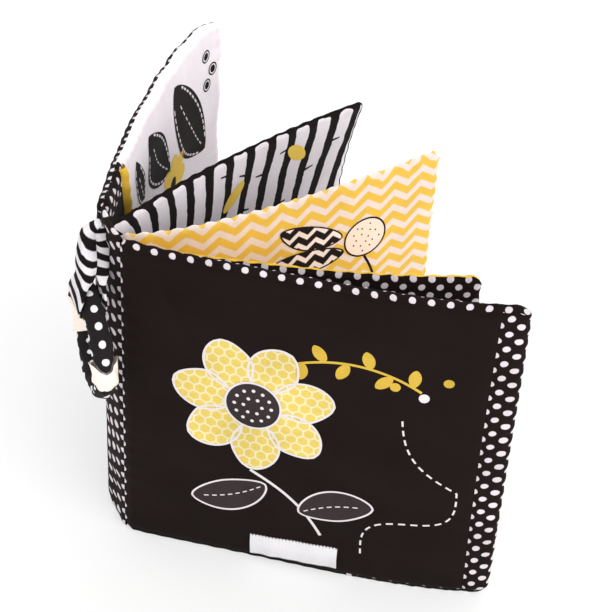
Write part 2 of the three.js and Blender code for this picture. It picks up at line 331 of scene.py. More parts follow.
def wire_weave(g: GroupGraph) -> None:
    """Cotton weave: two sines multiplied into threads, fine slubs and a broad mottling.

    Args:
        g: The group's graph.
    """
    slub_cells, mottle_cells = 1.1, 0.045
    x, y = g.split(g.given["Vector"])
    rate = g.math("DIVIDE", TAU, g.given["Thread"])
    warp = g.math("SINE", g.math("MULTIPLY", x, rate))
    weft = g.math("SINE", g.math("MULTIPLY", y, rate))
    threads = g.math("MULTIPLY", warp, weft)
    slub = g.noise(g.given["Vector"], slub_cells, 4)
    mottle = g.noise(g.given["Vector"], mottle_cells, 3)
    height = g.math("ADD", g.math("MULTIPLY", threads, 0.35), g.math("MULTIPLY", slub, 0.9))
    g.put(g.out["Height"], height)
    tone = g.math("ADD", g.math("MULTIPLY", slub, 0.35), g.math("MULTIPLY", mottle, 0.65))
    g.put(g.out["Tone"], tone)


def wobble(g: Graph, vector: object, amount: float, scale: float) -> bpy.types.NodeSocket:
    """Shifts a vector by noise, as printed edges bleed into cloth.

    Args:
        g: The graph.
        vector: The vector's socket.
        amount: The largest shift.
        scale: Noise cells in each millimetre.

    Returns:
        The shifted vector.
    """
    noise = g.node("ShaderNodeTexNoise")
    g.put(noise.inputs["Vector"], vector)
    noise.inputs["Scale"].default_value = scale
    centred = g.node("ShaderNodeVectorMath", operation="SUBTRACT")
    g.put(centred.inputs[0], noise.outputs["Color"])
    centred.inputs[1].default_value = (0.5, 0.5, 0.5)
    scaled = g.node("ShaderNodeVectorMath", operation="SCALE")
    g.put(scaled.inputs[0], centred.outputs[0])
    scaled.inputs["Scale"].default_value = amount
    moved = g.node("ShaderNodeVectorMath", operation="ADD")
    g.put(moved.inputs[0], vector)
    g.put(moved.inputs[1], scaled.outputs[0])
    return moved.outputs[0]


def wire_dots(g: GroupGraph) -> None:
    """Polka dots: the nearer of two lattices of discs, half a pitch apart each way.

    Args:
        g: The group's graph.
    """
    x, y = g.split(wobble(g, g.given["Vector"], 0.35, 0.5))
    along = g.given["Pitch"]
    across = g.math("MULTIPLY", along, g.given["Aspect"])

    def lattice(shift: float) -> bpy.types.NodeSocket:
        """Distance to the nearest point of a lattice.

        Args:
            shift: The lattice's shift, as a share of its pitch.

        Returns:
            The distance.
        """
        sides = []
        for value, pitch in ((x, along), (y, across)):
            moved = g.math("ADD", g.math("DIVIDE", value, pitch), shift)
            cell = g.math("SUBTRACT", g.math("FRACT", moved), 0.5)
            sides.append(g.math("MULTIPLY", cell, pitch))
        squares = [g.math("MULTIPLY", side, side) for side in sides]
        return g.math("SQRT", g.math("ADD", *squares))

    nearest = g.math("MINIMUM", lattice(0.0), lattice(0.5))
    inner = g.math("SUBTRACT", g.given["Radius"], INK_EDGE)
    outer = g.math("ADD", g.given["Radius"], INK_EDGE)
    g.put(g.out["Mask"], g.ramp(nearest, outer, inner))


def wire_zigzag(g: GroupGraph) -> None:
    """Zigzag stripes: the height plus a triangle wave along the width, cut into bands.

    Args:
        g: The group's graph.
    """
    edge = 0.03
    x, y = g.split(wobble(g, g.given["Vector"], 0.3, 0.4))
    wave = g.math("PINGPONG", g.math("DIVIDE", x, g.given["Period"]), 0.5)
    rise = g.math("MULTIPLY", wave, g.math("MULTIPLY", g.given["Swing"], 2.0))
    band = g.math("FRACT", g.math("DIVIDE", g.math("ADD", y, rise), g.given["Pitch"]))
    fold = g.math("ABSOLUTE", g.math("SUBTRACT", band, 0.5))
    half = g.math("MULTIPLY", g.given["Share"], 0.5)
    mask = g.ramp(fold, g.math("ADD", half, edge), g.math("SUBTRACT", half, edge))
    g.put(g.out["Mask"], mask)


def wire_bars(g: GroupGraph) -> None:
    """Slanting bars with rounded ends: round boxes of width and height, a period apart.

    The bars lean by a slant, lean the other way by a share that fades away from the spine, and
    hook over near their tops.

    Args:
        g: The group's graph.
    """
    fan_length, hook_length, hook_out = 18.0, 7.0, 2.4
    corner, ragged = 1.6, 1.6
    x, y = g.split(wobble(g, g.given["Vector"], 2.6, 0.045))
    mid = g.math("SUBTRACT", y, g.given["Middle"])
    below = g.math("SUBTRACT", mid, g.given["Half height"])
    fading = g.math("EXPONENT", g.math("DIVIDE", x, -fan_length))
    fan = g.math("MULTIPLY", fading, g.given["Fan"])
    lean = g.math("ADD", g.given["Slant"], fan)
    rise = g.math("EXPONENT", g.math("DIVIDE", below, hook_length))
    hook = g.math("MULTIPLY", rise, hook_out)
    slanted = g.math("ADD", x, g.math("ADD", hook, g.math("MULTIPLY", below, lean)))
    period = g.given["Period"]
    cell = g.math("FRACT", g.math("DIVIDE", slanted, period))
    across = g.math("MULTIPLY", g.math("ABSOLUTE", g.math("SUBTRACT", cell, 0.5)), period)
    rough = g.noise(g.given["Vector"], 0.16, 3)
    across = g.math("ADD", across, g.math("MULTIPLY", g.math("SUBTRACT", rough, 0.5), ragged))
    wide = g.math("SUBTRACT", g.given["Half width"], corner)
    tall = g.math("SUBTRACT", g.given["Half height"], corner)
    over_x = g.math("MAXIMUM", g.math("SUBTRACT", across, wide), 0.0)
    over_y = g.math("MAXIMUM", g.math("SUBTRACT", g.math("ABSOLUTE", mid), tall), 0.0)
    squares = [g.math("MULTIPLY", v, v) for v in (over_x, over_y)]
    reach = g.math("SQRT", g.math("ADD", *squares))
    g.put(g.out["Mask"], g.ramp(reach, corner + INK_EDGE, corner - INK_EDGE))


def wire_stripes(g: GroupGraph) -> None:
    """Stripes across a band: a sine along the band whose phase wanders with noise.

    Args:
        g: The group's graph.
    """
    blur = 0.25
    x, _ = g.split(wobble(g, g.given["Vector"], 2.2, 0.13))
    phase = g.math("MULTIPLY", g.math("DIVIDE", x, g.given["Pitch"]), TAU)
    g.put(g.out["Mask"], g.ramp(g.math("SINE", phase), -blur, blur))


def wire_honeycomb(g: GroupGraph) -> None:
    """Honeycomb lines: distance to the edge of the nearer of two hexagon lattices.

    Args:
        g: The group's graph.
    """
    line_inner, line_outer = 0.40, 0.43
    x, y = g.split(g.given["Vector"])
    cell = g.given["Cell"]
    x = g.math("DIVIDE", x, cell)
    y = g.math("DIVIDE", y, g.math("MULTIPLY", cell, math.sqrt(3)))

    def lattice(shift: float) -> tuple[bpy.types.NodeSocket, bpy.types.NodeSocket]:
        """Measures to the nearest centre of a lattice of hexagons.

        Args:
            shift: The lattice's shift, as a share of its pitch.

        Returns:
            The square of the distance, and the distance across a hexagon's flats.
        """
        local = []
        for value, size in ((x, 1.0), (y, math.sqrt(3))):
            wrapped = g.math("SUBTRACT", g.math("FRACT", g.math("ADD", value, shift)), 0.5)
            local.append(g.math("MULTIPLY", g.math("ABSOLUTE", wrapped), size))
        squares = [g.math("MULTIPLY", v, v) for v in local]
        aslant = g.math("MULTIPLY", local[1], math.sqrt(3) / 2)
        slope = g.math("ADD", g.math("MULTIPLY", local[0], 0.5), aslant)
        return g.math("ADD", *squares), g.math("MAXIMUM", slope, local[0])

    near_a, hex_a = lattice(0.0)
    near_b, hex_b = lattice(0.5)
    pick_a = g.math("LESS_THAN", near_a, near_b)
    hex_any = g.math("ADD", g.math("MULTIPLY", pick_a, g.math("SUBTRACT", hex_a, hex_b)), hex_b)
    g.put(g.out["Mask"], g.ramp(hex_any, line_inner, line_outer))


WEAVE = NodeGroup("cotton_weave", wire_weave, (("Thread", 0.5),), ("Tone", "Height"))
DOT_SIZES = (("Pitch", 7.4), ("Aspect", 1.0), ("Radius", 1.42))
ZIGZAG_SIZES = (("Period", 13.0), ("Pitch", 8.6), ("Swing", 5.0), ("Share", 0.45))
BAR_SIZES = (
    ("Period", 12.2),
    ("Half width", 3.7),
    ("Half height", 72.7),
    ("Middle", 74.0),
    ("Slant", -0.1),
    ("Fan", 1.2),
)
PATTERNS: dict[Pattern, NodeGroup] = {
    Pattern.DOTS: NodeGroup("polka_dots", wire_dots, DOT_SIZES),
    Pattern.ZIGZAG: NodeGroup("zigzag", wire_zigzag, ZIGZAG_SIZES),
    Pattern.BARS: NodeGroup("rounded_bars", wire_bars, BAR_SIZES),
    Pattern.STRIPES: NodeGroup("band_stripes", wire_stripes, (("Pitch", 3.6),)),
    Pattern.HONEYCOMB: NodeGroup("honeycomb", wire_honeycomb, (("Cell", 5.0),)),
}


@dataclass(frozen=True)
class Finish:
    """A cloth's finish: its colours from 0 to 255, its pattern and its feel."""

    name: str
    ground: tuple[int, int, int]
    figure: tuple[int, int, int] = (255, 255, 255)
    pattern: Pattern = Pattern.PLAIN
    sizes: tuple[tuple[str, float], ...] = ()
    roughness: float = 0.85
    sheen: float = 0.02
    specular: float = 0.06
    tone: float = 0.14
    bump: float = 0.35
    thread: float = 0.55
    slot: str = "black_cotton"

    def material(self) -> bpy.types.Material:
        """Builds the material once.

        Returns:
            The material, which reads the UV map named cloth, in metres.
        """
        if self.name in bpy.data.materials:
            return bpy.data.materials[self.name]
        made = bpy.data.materials.new(self.name)
        made.use_nodes = True
        made.node_tree.nodes.clear()
        g = Graph(made.node_tree)
        uv = g.node("ShaderNodeUVMap", uv_map="cloth")
        vector = g.node("ShaderNodeVectorMath", operation="SCALE")
        g.put(vector.inputs[0], uv.outputs[0])
        vector.inputs["Scale"].default_value = 1 / MM
        cotton = g.node("ShaderNodeGroup", node_tree=WEAVE.tree())
        g.put(cotton.inputs["Vector"], vector.outputs[0])
        cotton.inputs["Thread"].default_value = self.thread
        colour: object = linear(self.ground)
        if self.pattern in PATTERNS:
            figure = g.node("ShaderNodeGroup", node_tree=PATTERNS[self.pattern].tree())
            g.put(figure.inputs["Vector"], vector.outputs[0])
            for label, value in self.sizes:
                figure.inputs[label].default_value = value
            colour = g.mix(figure.outputs["Mask"], colour, linear(self.figure))
        shade = g.node("ShaderNodeMix", data_type="RGBA", blend_type="MULTIPLY")
        shade.inputs[0].default_value = self.tone * 2
        g.put(shade.inputs[6], colour)
        darkest, lightest = 0.2, 0.75
        g.put(shade.inputs[7], g.ramp(cotton.outputs["Tone"], darkest, lightest))
        bump = g.node("ShaderNodeBump")
        bump.inputs["Strength"].default_value = self.bump
        thread_depth = 0.25 * MM
        bump.inputs["Distance"].default_value = thread_depth
        g.put(bump.inputs["Height"], cotton.outputs["Height"])
        shader = g.node("ShaderNodeBsdfPrincipled")
        g.put(shader.inputs["Base Color"], shade.outputs[2])
        g.put(shader.inputs["Normal"], bump.outputs[0])
        shader.inputs["Roughness"].default_value = self.roughness
        shader.inputs["Sheen Weight"].default_value = self.sheen
        shader.inputs["Sheen Roughness"].default_value = 0.5
        shader.inputs["Specular IOR Level"].default_value = self.specular
        output = g.node("ShaderNodeOutputMaterial")
        g.put(output.inputs[0], shader.outputs[0])
        return made


BLACK = Finish("plain_black", (28, 19, 18))
BLACK_DOTS = Finish(
    "dotted_black", (29, 20, 19), (226, 216, 221), Pattern.DOTS, slot="dotted_cotton"
)
YELLOW = Finish("plain_yellow", (244, 196, 70), slot="yellow_cotton")
CHEVRON = Finish(
    "zigzag_yellow",
    (234, 220, 215),
    (233, 193, 82),
    Pattern.ZIGZAG,
    (("Period", 14.5), ("Pitch", 7.5), ("Swing", 5.0), ("Share", 0.54)),
    tone=0.08,
    slot="yellow_cotton",
)
BIRCH = Finish(
    "barred_white", (32, 25, 25), (248, 240, 245), Pattern.BARS, tone=0.08, slot="striped_cotton"
)
PAGE_WHITE = Finish("plain_white", (248, 239, 244), tone=0.05, slot="white_cotton")
LOOP_STRIPES = Finish(
    "striped_jersey",
    (26, 22, 22),
    (240, 235, 238),
    Pattern.STRIPES,
    (("Pitch", 4.4),),
    thread=0.4,
    slot="striped_cotton",
)
CREAM = Finish(
    "plain_cream",
    (250, 236, 224),
    roughness=0.6,
    sheen=0.1,
    specular=0.25,
    tone=0.06,
    bump=0.2,
    slot="cream_satin",
)
RING_DOTS = Finish(
    "dotted_jersey",
    (37, 33, 34),
    (243, 240, 243),
    Pattern.DOTS,
    (("Pitch", 7.0), ("Aspect", 1.97), ("Radius", 1.5)),
    slot="dotted_cotton",
)
LABEL = Finish("woven_white", (238, 235, 238), thread=0.9, bump=0.8, tone=0.1, slot="white_cotton")
PRINT_YELLOW = Finish(
    "print_honeycomb", (232, 205, 106), (240, 229, 186), Pattern.HONEYCOMB, slot="yellow_cotton"
)
PRINT_MUSTARD = Finish("print_mustard", (214, 178, 70), slot="yellow_cotton")
PRINT_WHITE = Finish("print_white", (226, 219, 221), tone=0.05, slot="white_cotton")
PRINT_CHARCOAL = Finish("print_charcoal", (58, 50, 51))
PRINT_BLACK = Finish("print_black", (32, 25, 25))
PRINT_ZEBRA = Finish(
    "print_zebra",
    (32, 25, 25),
    (248, 238, 240),
    Pattern.ZIGZAG,
    (("Period", 9.0), ("Pitch", 6.4), ("Swing", 3.6), ("Share", 0.42)),
)
PRINT_CREAM = Finish("print_cream", (246, 226, 214), tone=0.05, slot="white_cotton")
PRINT_SUN = Finish("print_sun", (252, 213, 96), tone=0.06, slot="yellow_cotton")
FILLING = Finish("loose_wadding", (238, 238, 238), slot="wadding")
FILM = Finish("clear_film", (205, 210, 216), roughness=0.3, sheen=0.0, slot="rustle_film")


# Meshes


@dataclass
class Patch:
    """A grid of points with the cloth coordinates that its pattern reads."""

    points: Array
    cloth: Array
    flip: bool = False


def make_piece(name: str, patches: Iterable[Patch], finish: Finish) -> bpy.types.Object:
    """Makes one object from grids, joined where their edges meet.

    Args:
        name: The piece's name.
        patches: Grids of points in millimetres.
        finish: Its cloth or ink.

    Returns:
        The object, with its faces pointing outwards and a UV map named cloth.
    """
    points, cloths, quads, first = [], [], [], 0
    for patch in patches:
        rows, columns = patch.points.shape[:2]
        index = first + np.arange(rows * columns).reshape(rows, columns)
        corners = [index[:-1, :-1], index[1:, :-1], index[1:, 1:], index[:-1, 1:]]
        block = np.stack([c.ravel() for c in corners], 1)
        quads.append(block[:, ::-1] if patch.flip else block)
        points.append(patch.points.reshape(-1, 3))
        cloths.append(patch.cloth.reshape(-1, 2))
        first += rows * columns
    all_points = np.concatenate(points)
    cloth = np.concatenate(cloths)
    faces = np.concatenate(quads)
    cells_each_mm = 2000
    keys = np.round(all_points * cells_each_mm).astype(np.int64)
    _, keep, merged = np.unique(keys, axis=0, return_index=True, return_inverse=True)
    joined = merged.reshape(-1)[faces]
    solid = np.array([len(set(f)) >= 3 for f in joined.tolist()])
    mesh = bpy.data.meshes.new(name)
    rings = [list(dict.fromkeys(f)) for f in joined[solid].tolist()]
    mesh.from_pydata((all_points[keep] * MM).tolist(), [], rings)
    layer = mesh.uv_layers.new(name="cloth")
    corner_cloth = []
    for ring, face in zip(rings, faces[solid].tolist()):
        own = dict(zip(merged.reshape(-1)[face].tolist(), face))
        corner_cloth.extend(own[v] for v in ring)
    layer.data.foreach_set("uv", (cloth[corner_cloth] * MM).ravel())
    mesh.polygons.foreach_set("use_smooth", np.ones(len(mesh.polygons), bool))
    mesh.materials.append(finish.material())
    mesh.update()
    made = bpy.data.objects.new(name, mesh)
    bpy.context.scene.collection.objects.link(made)
    log.info("%s: %d faces", name, len(rings))
    return made


def dress(piece: bpy.types.Object, body: Body, nodes: Sequence[str]) -> None:
    """Places a padded piece on its body in the place of its solids.

    Args:
        piece: The object.
        body: The body that it rides.
        nodes: The solids that it stands for.
    """
    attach(piece, body.value)
    if nodes:
        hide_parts(*nodes)


# Leaves


class Run(Enum):
    """Ways that a seam runs."""

    UPRIGHT = "at one distance from the spine"
    LEVEL = "at one height"


@dataclass(frozen=True)
class Seam:
    """A seam on one side of a leaf, and its distance from the spine or above the foot."""

    side: Side
    run: Run
    at: float


@dataclass(frozen=True)
class LeafForm:
    """Sizes of a leaf's solid, as in the part's source."""

    width: float
    height: float
    bottom: float
    edge_half: float
    crown_half: float
    edge_reach: float
    crown_reach: float
    corner: float
    draw_in: float
    draw_in_below: float
    sway: float = 0.0


COVER = LeafForm(
    width=163.9,
    height=160.5,
    bottom=-0.5,
    edge_half=2.8,
    crown_half=4.6,
    edge_reach=3.5,
    crown_reach=45,
    corner=6,
    draw_in=1.2,
    draw_in_below=0,
)
PAGE = LeafForm(
    width=149,
    height=148,
    bottom=6,
    edge_half=1.3,
    crown_half=2.6,
    edge_reach=2.4,
    crown_reach=40,
    corner=5,
    draw_in=1.0,
    draw_in_below=1.0,
)


@dataclass(frozen=True)
class SpineLine:
    """The bowed line that the leaves stand on."""

    pitch: float = 6.1
    half: float = 11.6
    bow: float = 1.0
    along_heading: float = 123.4

    def point(self, along: Array, outward: Array, height: Array) -> Array:
        """Places points by the spine's own axes.

        Args:
            along: Distance along the spine from its middle.
            outward: Distance out of the book.
            height: Height above the table.

        Returns:
            Points.
        """
        along, outward, height = np.broadcast_arrays(along, outward, height)
        out = outward - self.bow * (along / self.half) ** 2
        points = along[..., None] * heading(self.along_heading)
        points = points + out[..., None] * heading(self.along_heading + 90)
        points[..., 2] = height
        return points


SPINE = SpineLine()


@dataclass(frozen=True)
class Relief:
    """What a leaf's cloth does beyond its solid: puckers, waves, creases and uneven padding.

    The puckers fade away from the seams, the broad waves leave a rim flat, and the outline waves
    within a rim. On the left side left_out is added along the top, left_in is missing low down
    beside the spine and thin_top is missing at the top edge. On the right side right_puff is
    added beside the gutter. A crease is its start and end as s and h, and its height.
    """

    seed: int
    pucker: float = 0.45
    pucker_length: float = 7.6
    pucker_fade: float = 6.5
    waves: float = 0.7
    wave_rim: float = 30
    outline: float = 0.35
    outline_length: float = 7.6
    outline_rim: float = 8
    fore_out: float = 0.0
    left_out: float = 0.0
    left_in: float = 0.0
    thin_top: float = 0.0
    right_puff: float = 0.0
    root_rise: float = 0.0
    seam_depth: float = 0.75
    seam_width: float = 1.3
    creases: tuple[tuple[float, float, float, float, float], ...] = ()
    crease_width: float = 1.9

    def height(self, leaf: LeafForm, s: Array, h: Array) -> Array:
        """How far the cloth stands out beyond its crown.

        Sums a sine along each edge that dies away with the distance from that edge, six long
        slanting sines, and a narrow bell across each crease.

        Args:
            leaf: The leaf's sizes.
            s: Distance from the spine.
            h: Height above the foot.

        Returns:
            Heights in millimetres.
        """
        rng = np.random.default_rng(self.seed)
        total = np.zeros(np.broadcast(s, h).shape)
        edges = ((s, leaf.height - h), (s, h), (h, leaf.width - s), (h, s))
        for along, away in edges:
            phase, drift, beat = rng.uniform(0, TAU, 3)
            stretch = along / self.pucker_length + 0.35 * np.sin(along / 19 + drift)
            swell = 0.7 + 0.3 * np.sin(along / 11 + beat)
            ripple = np.sin(TAU * stretch + phase)
            total += self.pucker * swell * np.exp(-away / self.pucker_fade) * ripple
        to_side = np.minimum(s, leaf.width - s)
        inner = rising(np.minimum(to_side, np.minimum(h, leaf.height - h)), 0, self.wave_rim)
        wave_count, shortest, longest = 6, 34, 85
        for _ in range(wave_count):
            turn, phase = rng.uniform(0, TAU, 2)
            length = rng.uniform(shortest, longest)
            along = s * math.cos(turn) + h * math.sin(turn)
            total += self.waves / 3 * inner * np.sin(TAU * along / length + phase)
        for s0, h0, s1, h1, depth in self.creases:
            run = np.hypot(s1 - s0, h1 - h0)
            along = ((s - s0) * (s1 - s0) + (h - h0) * (h1 - h0)) / run
            across = ((s - s0) * (h1 - h0) - (h - h0) * (s1 - s0)) / run
            fade = np.sin(math.pi * np.clip(along / run, 0, 1)) ** 0.7
            total += depth * fade * bell(across, self.crease_width)
        return total

    def edge(self, along: Array, lane: int) -> Array:
        """How far the outline moves in or out at a distance along it: a sine that drifts.

        Args:
            along: Distance along the edge.
            lane: Which edge, for its own phase.

        Returns:
            Shifts in millimetres.
        """
        rng = np.random.default_rng(self.seed * 7 + lane)
        phase, drift = rng.uniform(0, TAU, 2)
        stretch = along / self.outline_length + 0.3 * np.sin(along / 23 + drift)
        return self.outline * np.sin(TAU * stretch + phase)

    def pad(
        self, side: Side, half: Array, edge: Array, s: Array, h: Array, top: Array
    ) -> Array:
        """Pads one side more or less than its crown, by smooth steps along and up the leaf.

        The left side stands out more along its top away from the spine, and less low down beside
        the spine and at its top edge. The right side is puffed by a bell beside the gutter.

        Args:
            side: The side of the plan line.
            half: Half the leaf's thickness so far.
            edge: How far the edge's rounding has risen, from 0 to 1.
            s: Distance from the spine.
            h: Height above the foot.
            top: Distance below the top.

        Returns:
            The new half thickness.
        """
        if side is Side.LEFT:
            half = half + self.left_out * edge * rising(s, 25, 45) * falling(top, 50, 30)
            half = half - self.left_in * edge * falling(s, 34, 24) * falling(h, 112, 40)
            return half - self.thin_top * edge * falling(top, 22, 16)
        puff = bell(s - 30, 20) * rising(top, 3, 24)
        return half + self.right_puff * edge * puff


@dataclass(frozen=True)
class Course:
    """Headings of a leaf's plan line in degrees, and two turns that fade from its ends.

    The headings are those at the spine, at half the width and at the fore-edge.
    """

    root: float
    middle: float
    fore: float
    root_turn: float = 0.0
    fore_turn: float = 0.0
    fade: float = 0.12

    def at(self, share: Array) -> Array:
        """Heading: a quadratic through the three headings plus the two fading turns.

        Args:
            share: Share of the leaf's width.

        Returns:
            Headings in degrees.
        """
        slope = 4 * self.middle - 3 * self.root - self.fore
        bend = 2 * (self.root - 2 * self.middle + self.fore)
        from_root = self.root_turn * np.exp(-share / self.fade)
        sharp = from_root + self.fore_turn * np.exp((share - 1) / self.fade)
        return self.root + slope * share + bend * share**2 + sharp


@dataclass(frozen=True)
class Leaf:
    """A padded leaf on its curved plan line."""

    form: LeafForm
    station: float
    inward: float
    course: Course
    relief: Relief
    seams: tuple[Seam, ...] = ()
    steps: int = 60

    def line(self) -> Array:
        """Adds up the plan line's even steps along its headings.

        Returns:
            Points from the spine to the fore-edge.
        """
        root = SPINE.point(
            np.array(self.station * SPINE.pitch), np.array(-self.inward), np.array(0.0)
        )
        middles = (np.arange(self.steps) + 0.5) / self.steps
        strides = heading(self.course.at(middles)) * self.form.width / self.steps
        return root + np.concatenate([np.zeros((1, 3)), np.cumsum(strides, 0)])

    def half(self, s: Array, h: Array) -> tuple[Array, Array]:
        """Half the leaf's thickness without relief: quarter circles at the edges, then a crown.

        Args:
            s: Distance from the spine.
            h: Height above the foot.

        Returns:
            The half thickness, and how far the edge's rounding has risen, from 0 to 1.
        """
        f = self.form
        ds = np.minimum(s, f.width - s)
        dh = np.minimum(h, f.height - h)

        def rounded(d: Array) -> Array:
            """A quarter circle that rises over the edge's reach."""
            return np.sqrt(np.clip(1 - (1 - np.clip(d / f.edge_reach, 0, 1)) ** 2, 0, 1))

        def rise(d: Array) -> Array:
            """A parabola that rises over the crown's reach."""
            return 1 - (1 - np.clip(d / f.crown_reach, 0, 1)) ** 2

        edge = rounded(ds) * rounded(dh)
        return f.edge_half * edge + (f.crown_half - f.edge_half) * rise(ds) * rise(dh), edge

    def outline(self, s: Array, h: Array) -> tuple[Array, Array, Array, Array]:
        """Moves places so that the leaf gets its real outline.

        Corner squares are turned into quarter discs, the sides are drawn in by parabolas between
        the corners, the outline waves, the fore-edge is puffed out, and the top rises beside the
        spine.

        Args:
            s: Distance from the spine.
            h: Height above the foot.

        Returns:
            The moved distances and heights, and their shares of the width and height before the
            sides are drawn in.
        """
        f, relief = self.form, self.relief
        from_fore = s > f.width / 2
        from_top = h > f.height / 2
        a = np.clip((f.corner - np.where(from_fore, f.width - s, s)) / f.corner, 0, None)
        b = np.clip((f.corner - np.where(from_top, f.height - h, h)) / f.corner, 0, None)
        both = (a > 0) & (b > 0)
        in_s = f.corner * (1 - a * np.sqrt(1 - b * b / 2))
        in_h = f.corner * (1 - b * np.sqrt(1 - a * a / 2))
        s2 = np.where(both, np.where(from_fore, f.width - in_s, in_s), s)
        h2 = np.where(both, np.where(from_top, f.height - in_h, in_h), h)
        u = s2 / f.width
        v = h2 / f.height
        s3 = s2 - f.draw_in * 4 * v * (1 - v) * u * u
        h3 = h2 - f.draw_in * 4 * u * (1 - u) * v * v
        h3 = h3 + f.draw_in_below * 4 * u * (1 - u) * (1 - v) ** 2
        out = relief.fore_out * np.sqrt(np.clip(4 * v * (1.03 - v), 0, 1))
        s3 = s3 + (relief.edge(h, 1) + out) * smooth(1 - (f.width - s) / relief.outline_rim)
        h3 = h3 + relief.edge(s, 2) * smooth(1 - (f.height - h) / relief.outline_rim)
        h3 = h3 + relief.root_rise * np.exp(-s / 6) * v**8
        return s3, h3, u, v

    def place(self, side: Side, s: Array, h: Array, lift: float = 0.0) -> Array:
        """Places cloth on one side of the leaf.

        The cloth stands off the plan line by the half thickness with its relief and padding,
        seams sink in as narrow bells, and the foot sways to the left by u(1 - v^3), with u and v
        the shares of the width and height.

        Args:
            side: The side of the plan line.
            s: Distance from the spine.
            h: Height above the foot.
            lift: Height above the cloth, for print, or below it, for filling.

        Returns:
            Points.
        """
        f, relief = self.form, self.relief
        s, h = (np.array(v, float) for v in np.broadcast_arrays(s, h))
        half, edge = self.half(s, h)
        half = half + relief.height(f, s, h) * edge
        half = relief.pad(side, half, edge, s, h, f.height - h)
        for seam in self.seams:
            if seam.side is side:
                away = (s if seam.run is Run.UPRIGHT else h) - seam.at
                half = half - relief.seam_depth * edge * bell(away, relief.seam_width)
        half = np.maximum(half + lift, 0.0)
        s3, h3, u, v = self.outline(s, h)
        place = np.clip(s3 / f.width, 0, 1) * self.steps
        line = self.line()
        beyond = np.maximum(s3 - f.width, 0)
        x = np.interp(place, np.arange(self.steps + 1), line[:, 0])
        y = np.interp(place, np.arange(self.steps + 1), line[:, 1])
        facing = self.course.at(np.clip(s3 / f.width, 0, 1))
        normal = heading(facing + 90)
        points = np.stack([x, y, np.maximum(f.bottom + h3, 0)], -1)
        offset = side.value * half + f.sway * u * (1 - v**3)
        points = points + offset[..., None] * normal
        return points + beyond[..., None] * heading(facing)

    def lines(self, length: float, breaks: Sequence[float]) -> Array:
        """Grid lines across the leaf, close together near its edges.

        Args:
            length: The leaf's width or height.
            breaks: Places that need a line of their own.

        Returns:
            Sorted distances.
        """
        rim, spacing, too_near = 16, 1.6, 0.3
        fine = np.concatenate([[0, 0.12, 0.35, 0.8, 1.4, 2.1], np.arange(3, rim, 0.9)])
        middle = np.linspace(rim, length - rim, int((length - 2 * rim) / spacing))
        lines = np.concatenate([fine, middle, length - fine])
        for at in breaks:
            lines = lines[np.abs(lines - at) > too_near]
        return np.unique(np.concatenate([lines, np.asarray(breaks, float)]))

    def patch(
        self,
        side: Side,
        s_range: tuple[float, float],
        h_range: tuple[float, float],
        breaks: tuple[Sequence[float], Sequence[float]],
        unroll: tuple[bool, bool] = (False, False),
    ) -> Patch:
        """A rectangle of the leaf's cloth.

        Args:
            side: The side of the plan line.
            s_range: Nearest and furthest distance from the spine.
            h_range: Lowest and highest place.
            breaks: Lines that neighbouring patches share, for s and h.
            unroll: Whether s or h counts on past the fore-edge or the top, for a rolled strip.

        Returns:
            The patch.
        """
        s = within(self.lines(self.form.width, breaks[0]), s_range)
        h = within(self.lines(self.form.height, breaks[1]), h_range)
        grid_s, grid_h = np.meshgrid(s, h, indexing="ij")
        points = self.place(side, grid_s, grid_h)
        cloth_s = 2 * self.form.width - grid_s if unroll[0] else grid_s
        folded = np.where(grid_h > self.form.height / 2, 2 * self.form.height - grid_h, -grid_h)
        cloth = np.stack([cloth_s, folded if unroll[1] else grid_h], -1)
        return Patch(points, cloth, side is Side.LEFT)

    def rolled(
        self,
        side: Side,
        roll: float,
        fore: float | None = None,
        extra: Sequence[float] = (),
    ) -> list[Patch]:
        """One side's cloth, with its rolled strips on the other side along the top and the foot.

        Args:
            side: The side that the cloth covers.
            roll: How far the cloth rolls over the edge.
            fore: How far it rolls over the fore-edge, if it does.
            extra: Other shared lines across the width.

        Returns:
            Patches.
        """
        w, t = self.form.width, self.form.height
        other = Side(-side.value)
        s_breaks = [*extra, *([w - fore] if fore else [])]
        breaks = (s_breaks, [roll, t - roll])
        patches = [
            self.patch(side, (0, w), (0, t), breaks),
            self.patch(other, (0, w), (t - roll, t), breaks, (False, True)),
            self.patch(other, (0, w), (0, roll), breaks, (False, True)),
        ]
        if fore:
            upright = (w - fore, w), (roll, t - roll)
            patches.append(self.patch(other, *upright, breaks, (True, False)))
        return patches


def fill_leaf(leaf: Leaf, name: str, body: Body) -> None:
    """Makes a leaf's filling: the cloth's own surface, sunk a little and closed at its rims.

    Args:
        leaf: The leaf.
        name: Start of the piece's and its solid's names.
        body: The body that it rides.
    """
    rim, sunk, coarser = 3.0, 0.9, 2
    s, h = (
        within(leaf.lines(length, [rim, length - rim]), (rim, length - rim))
        for length in (leaf.form.width, leaf.form.height)
    )
    grid_s, grid_h = np.meshgrid(s[::coarser], h[::coarser], indexing="ij")
    cloth = np.stack([grid_s, grid_h], -1)
    right, left = (leaf.place(side, grid_s, grid_h, -sunk) for side in (Side.RIGHT, Side.LEFT))
    patches = [Patch(right, cloth), Patch(left, cloth, True)]
    sides = ((np.s_[0, :], False), (np.s_[-1, :], True), (np.s_[:, 0], True), (np.s_[:, -1], False))
    for at, flip in sides:
        rim_points = np.stack([right[at], left[at]], 1)
        patches.append(Patch(rim_points, np.stack([cloth[at], cloth[at]], 1), flip))
    dress(make_piece(f"{name}_filling", patches, FILLING), body, [f"{name}_wadding"])


# Prints: flat shapes laid on a leaf's cloth


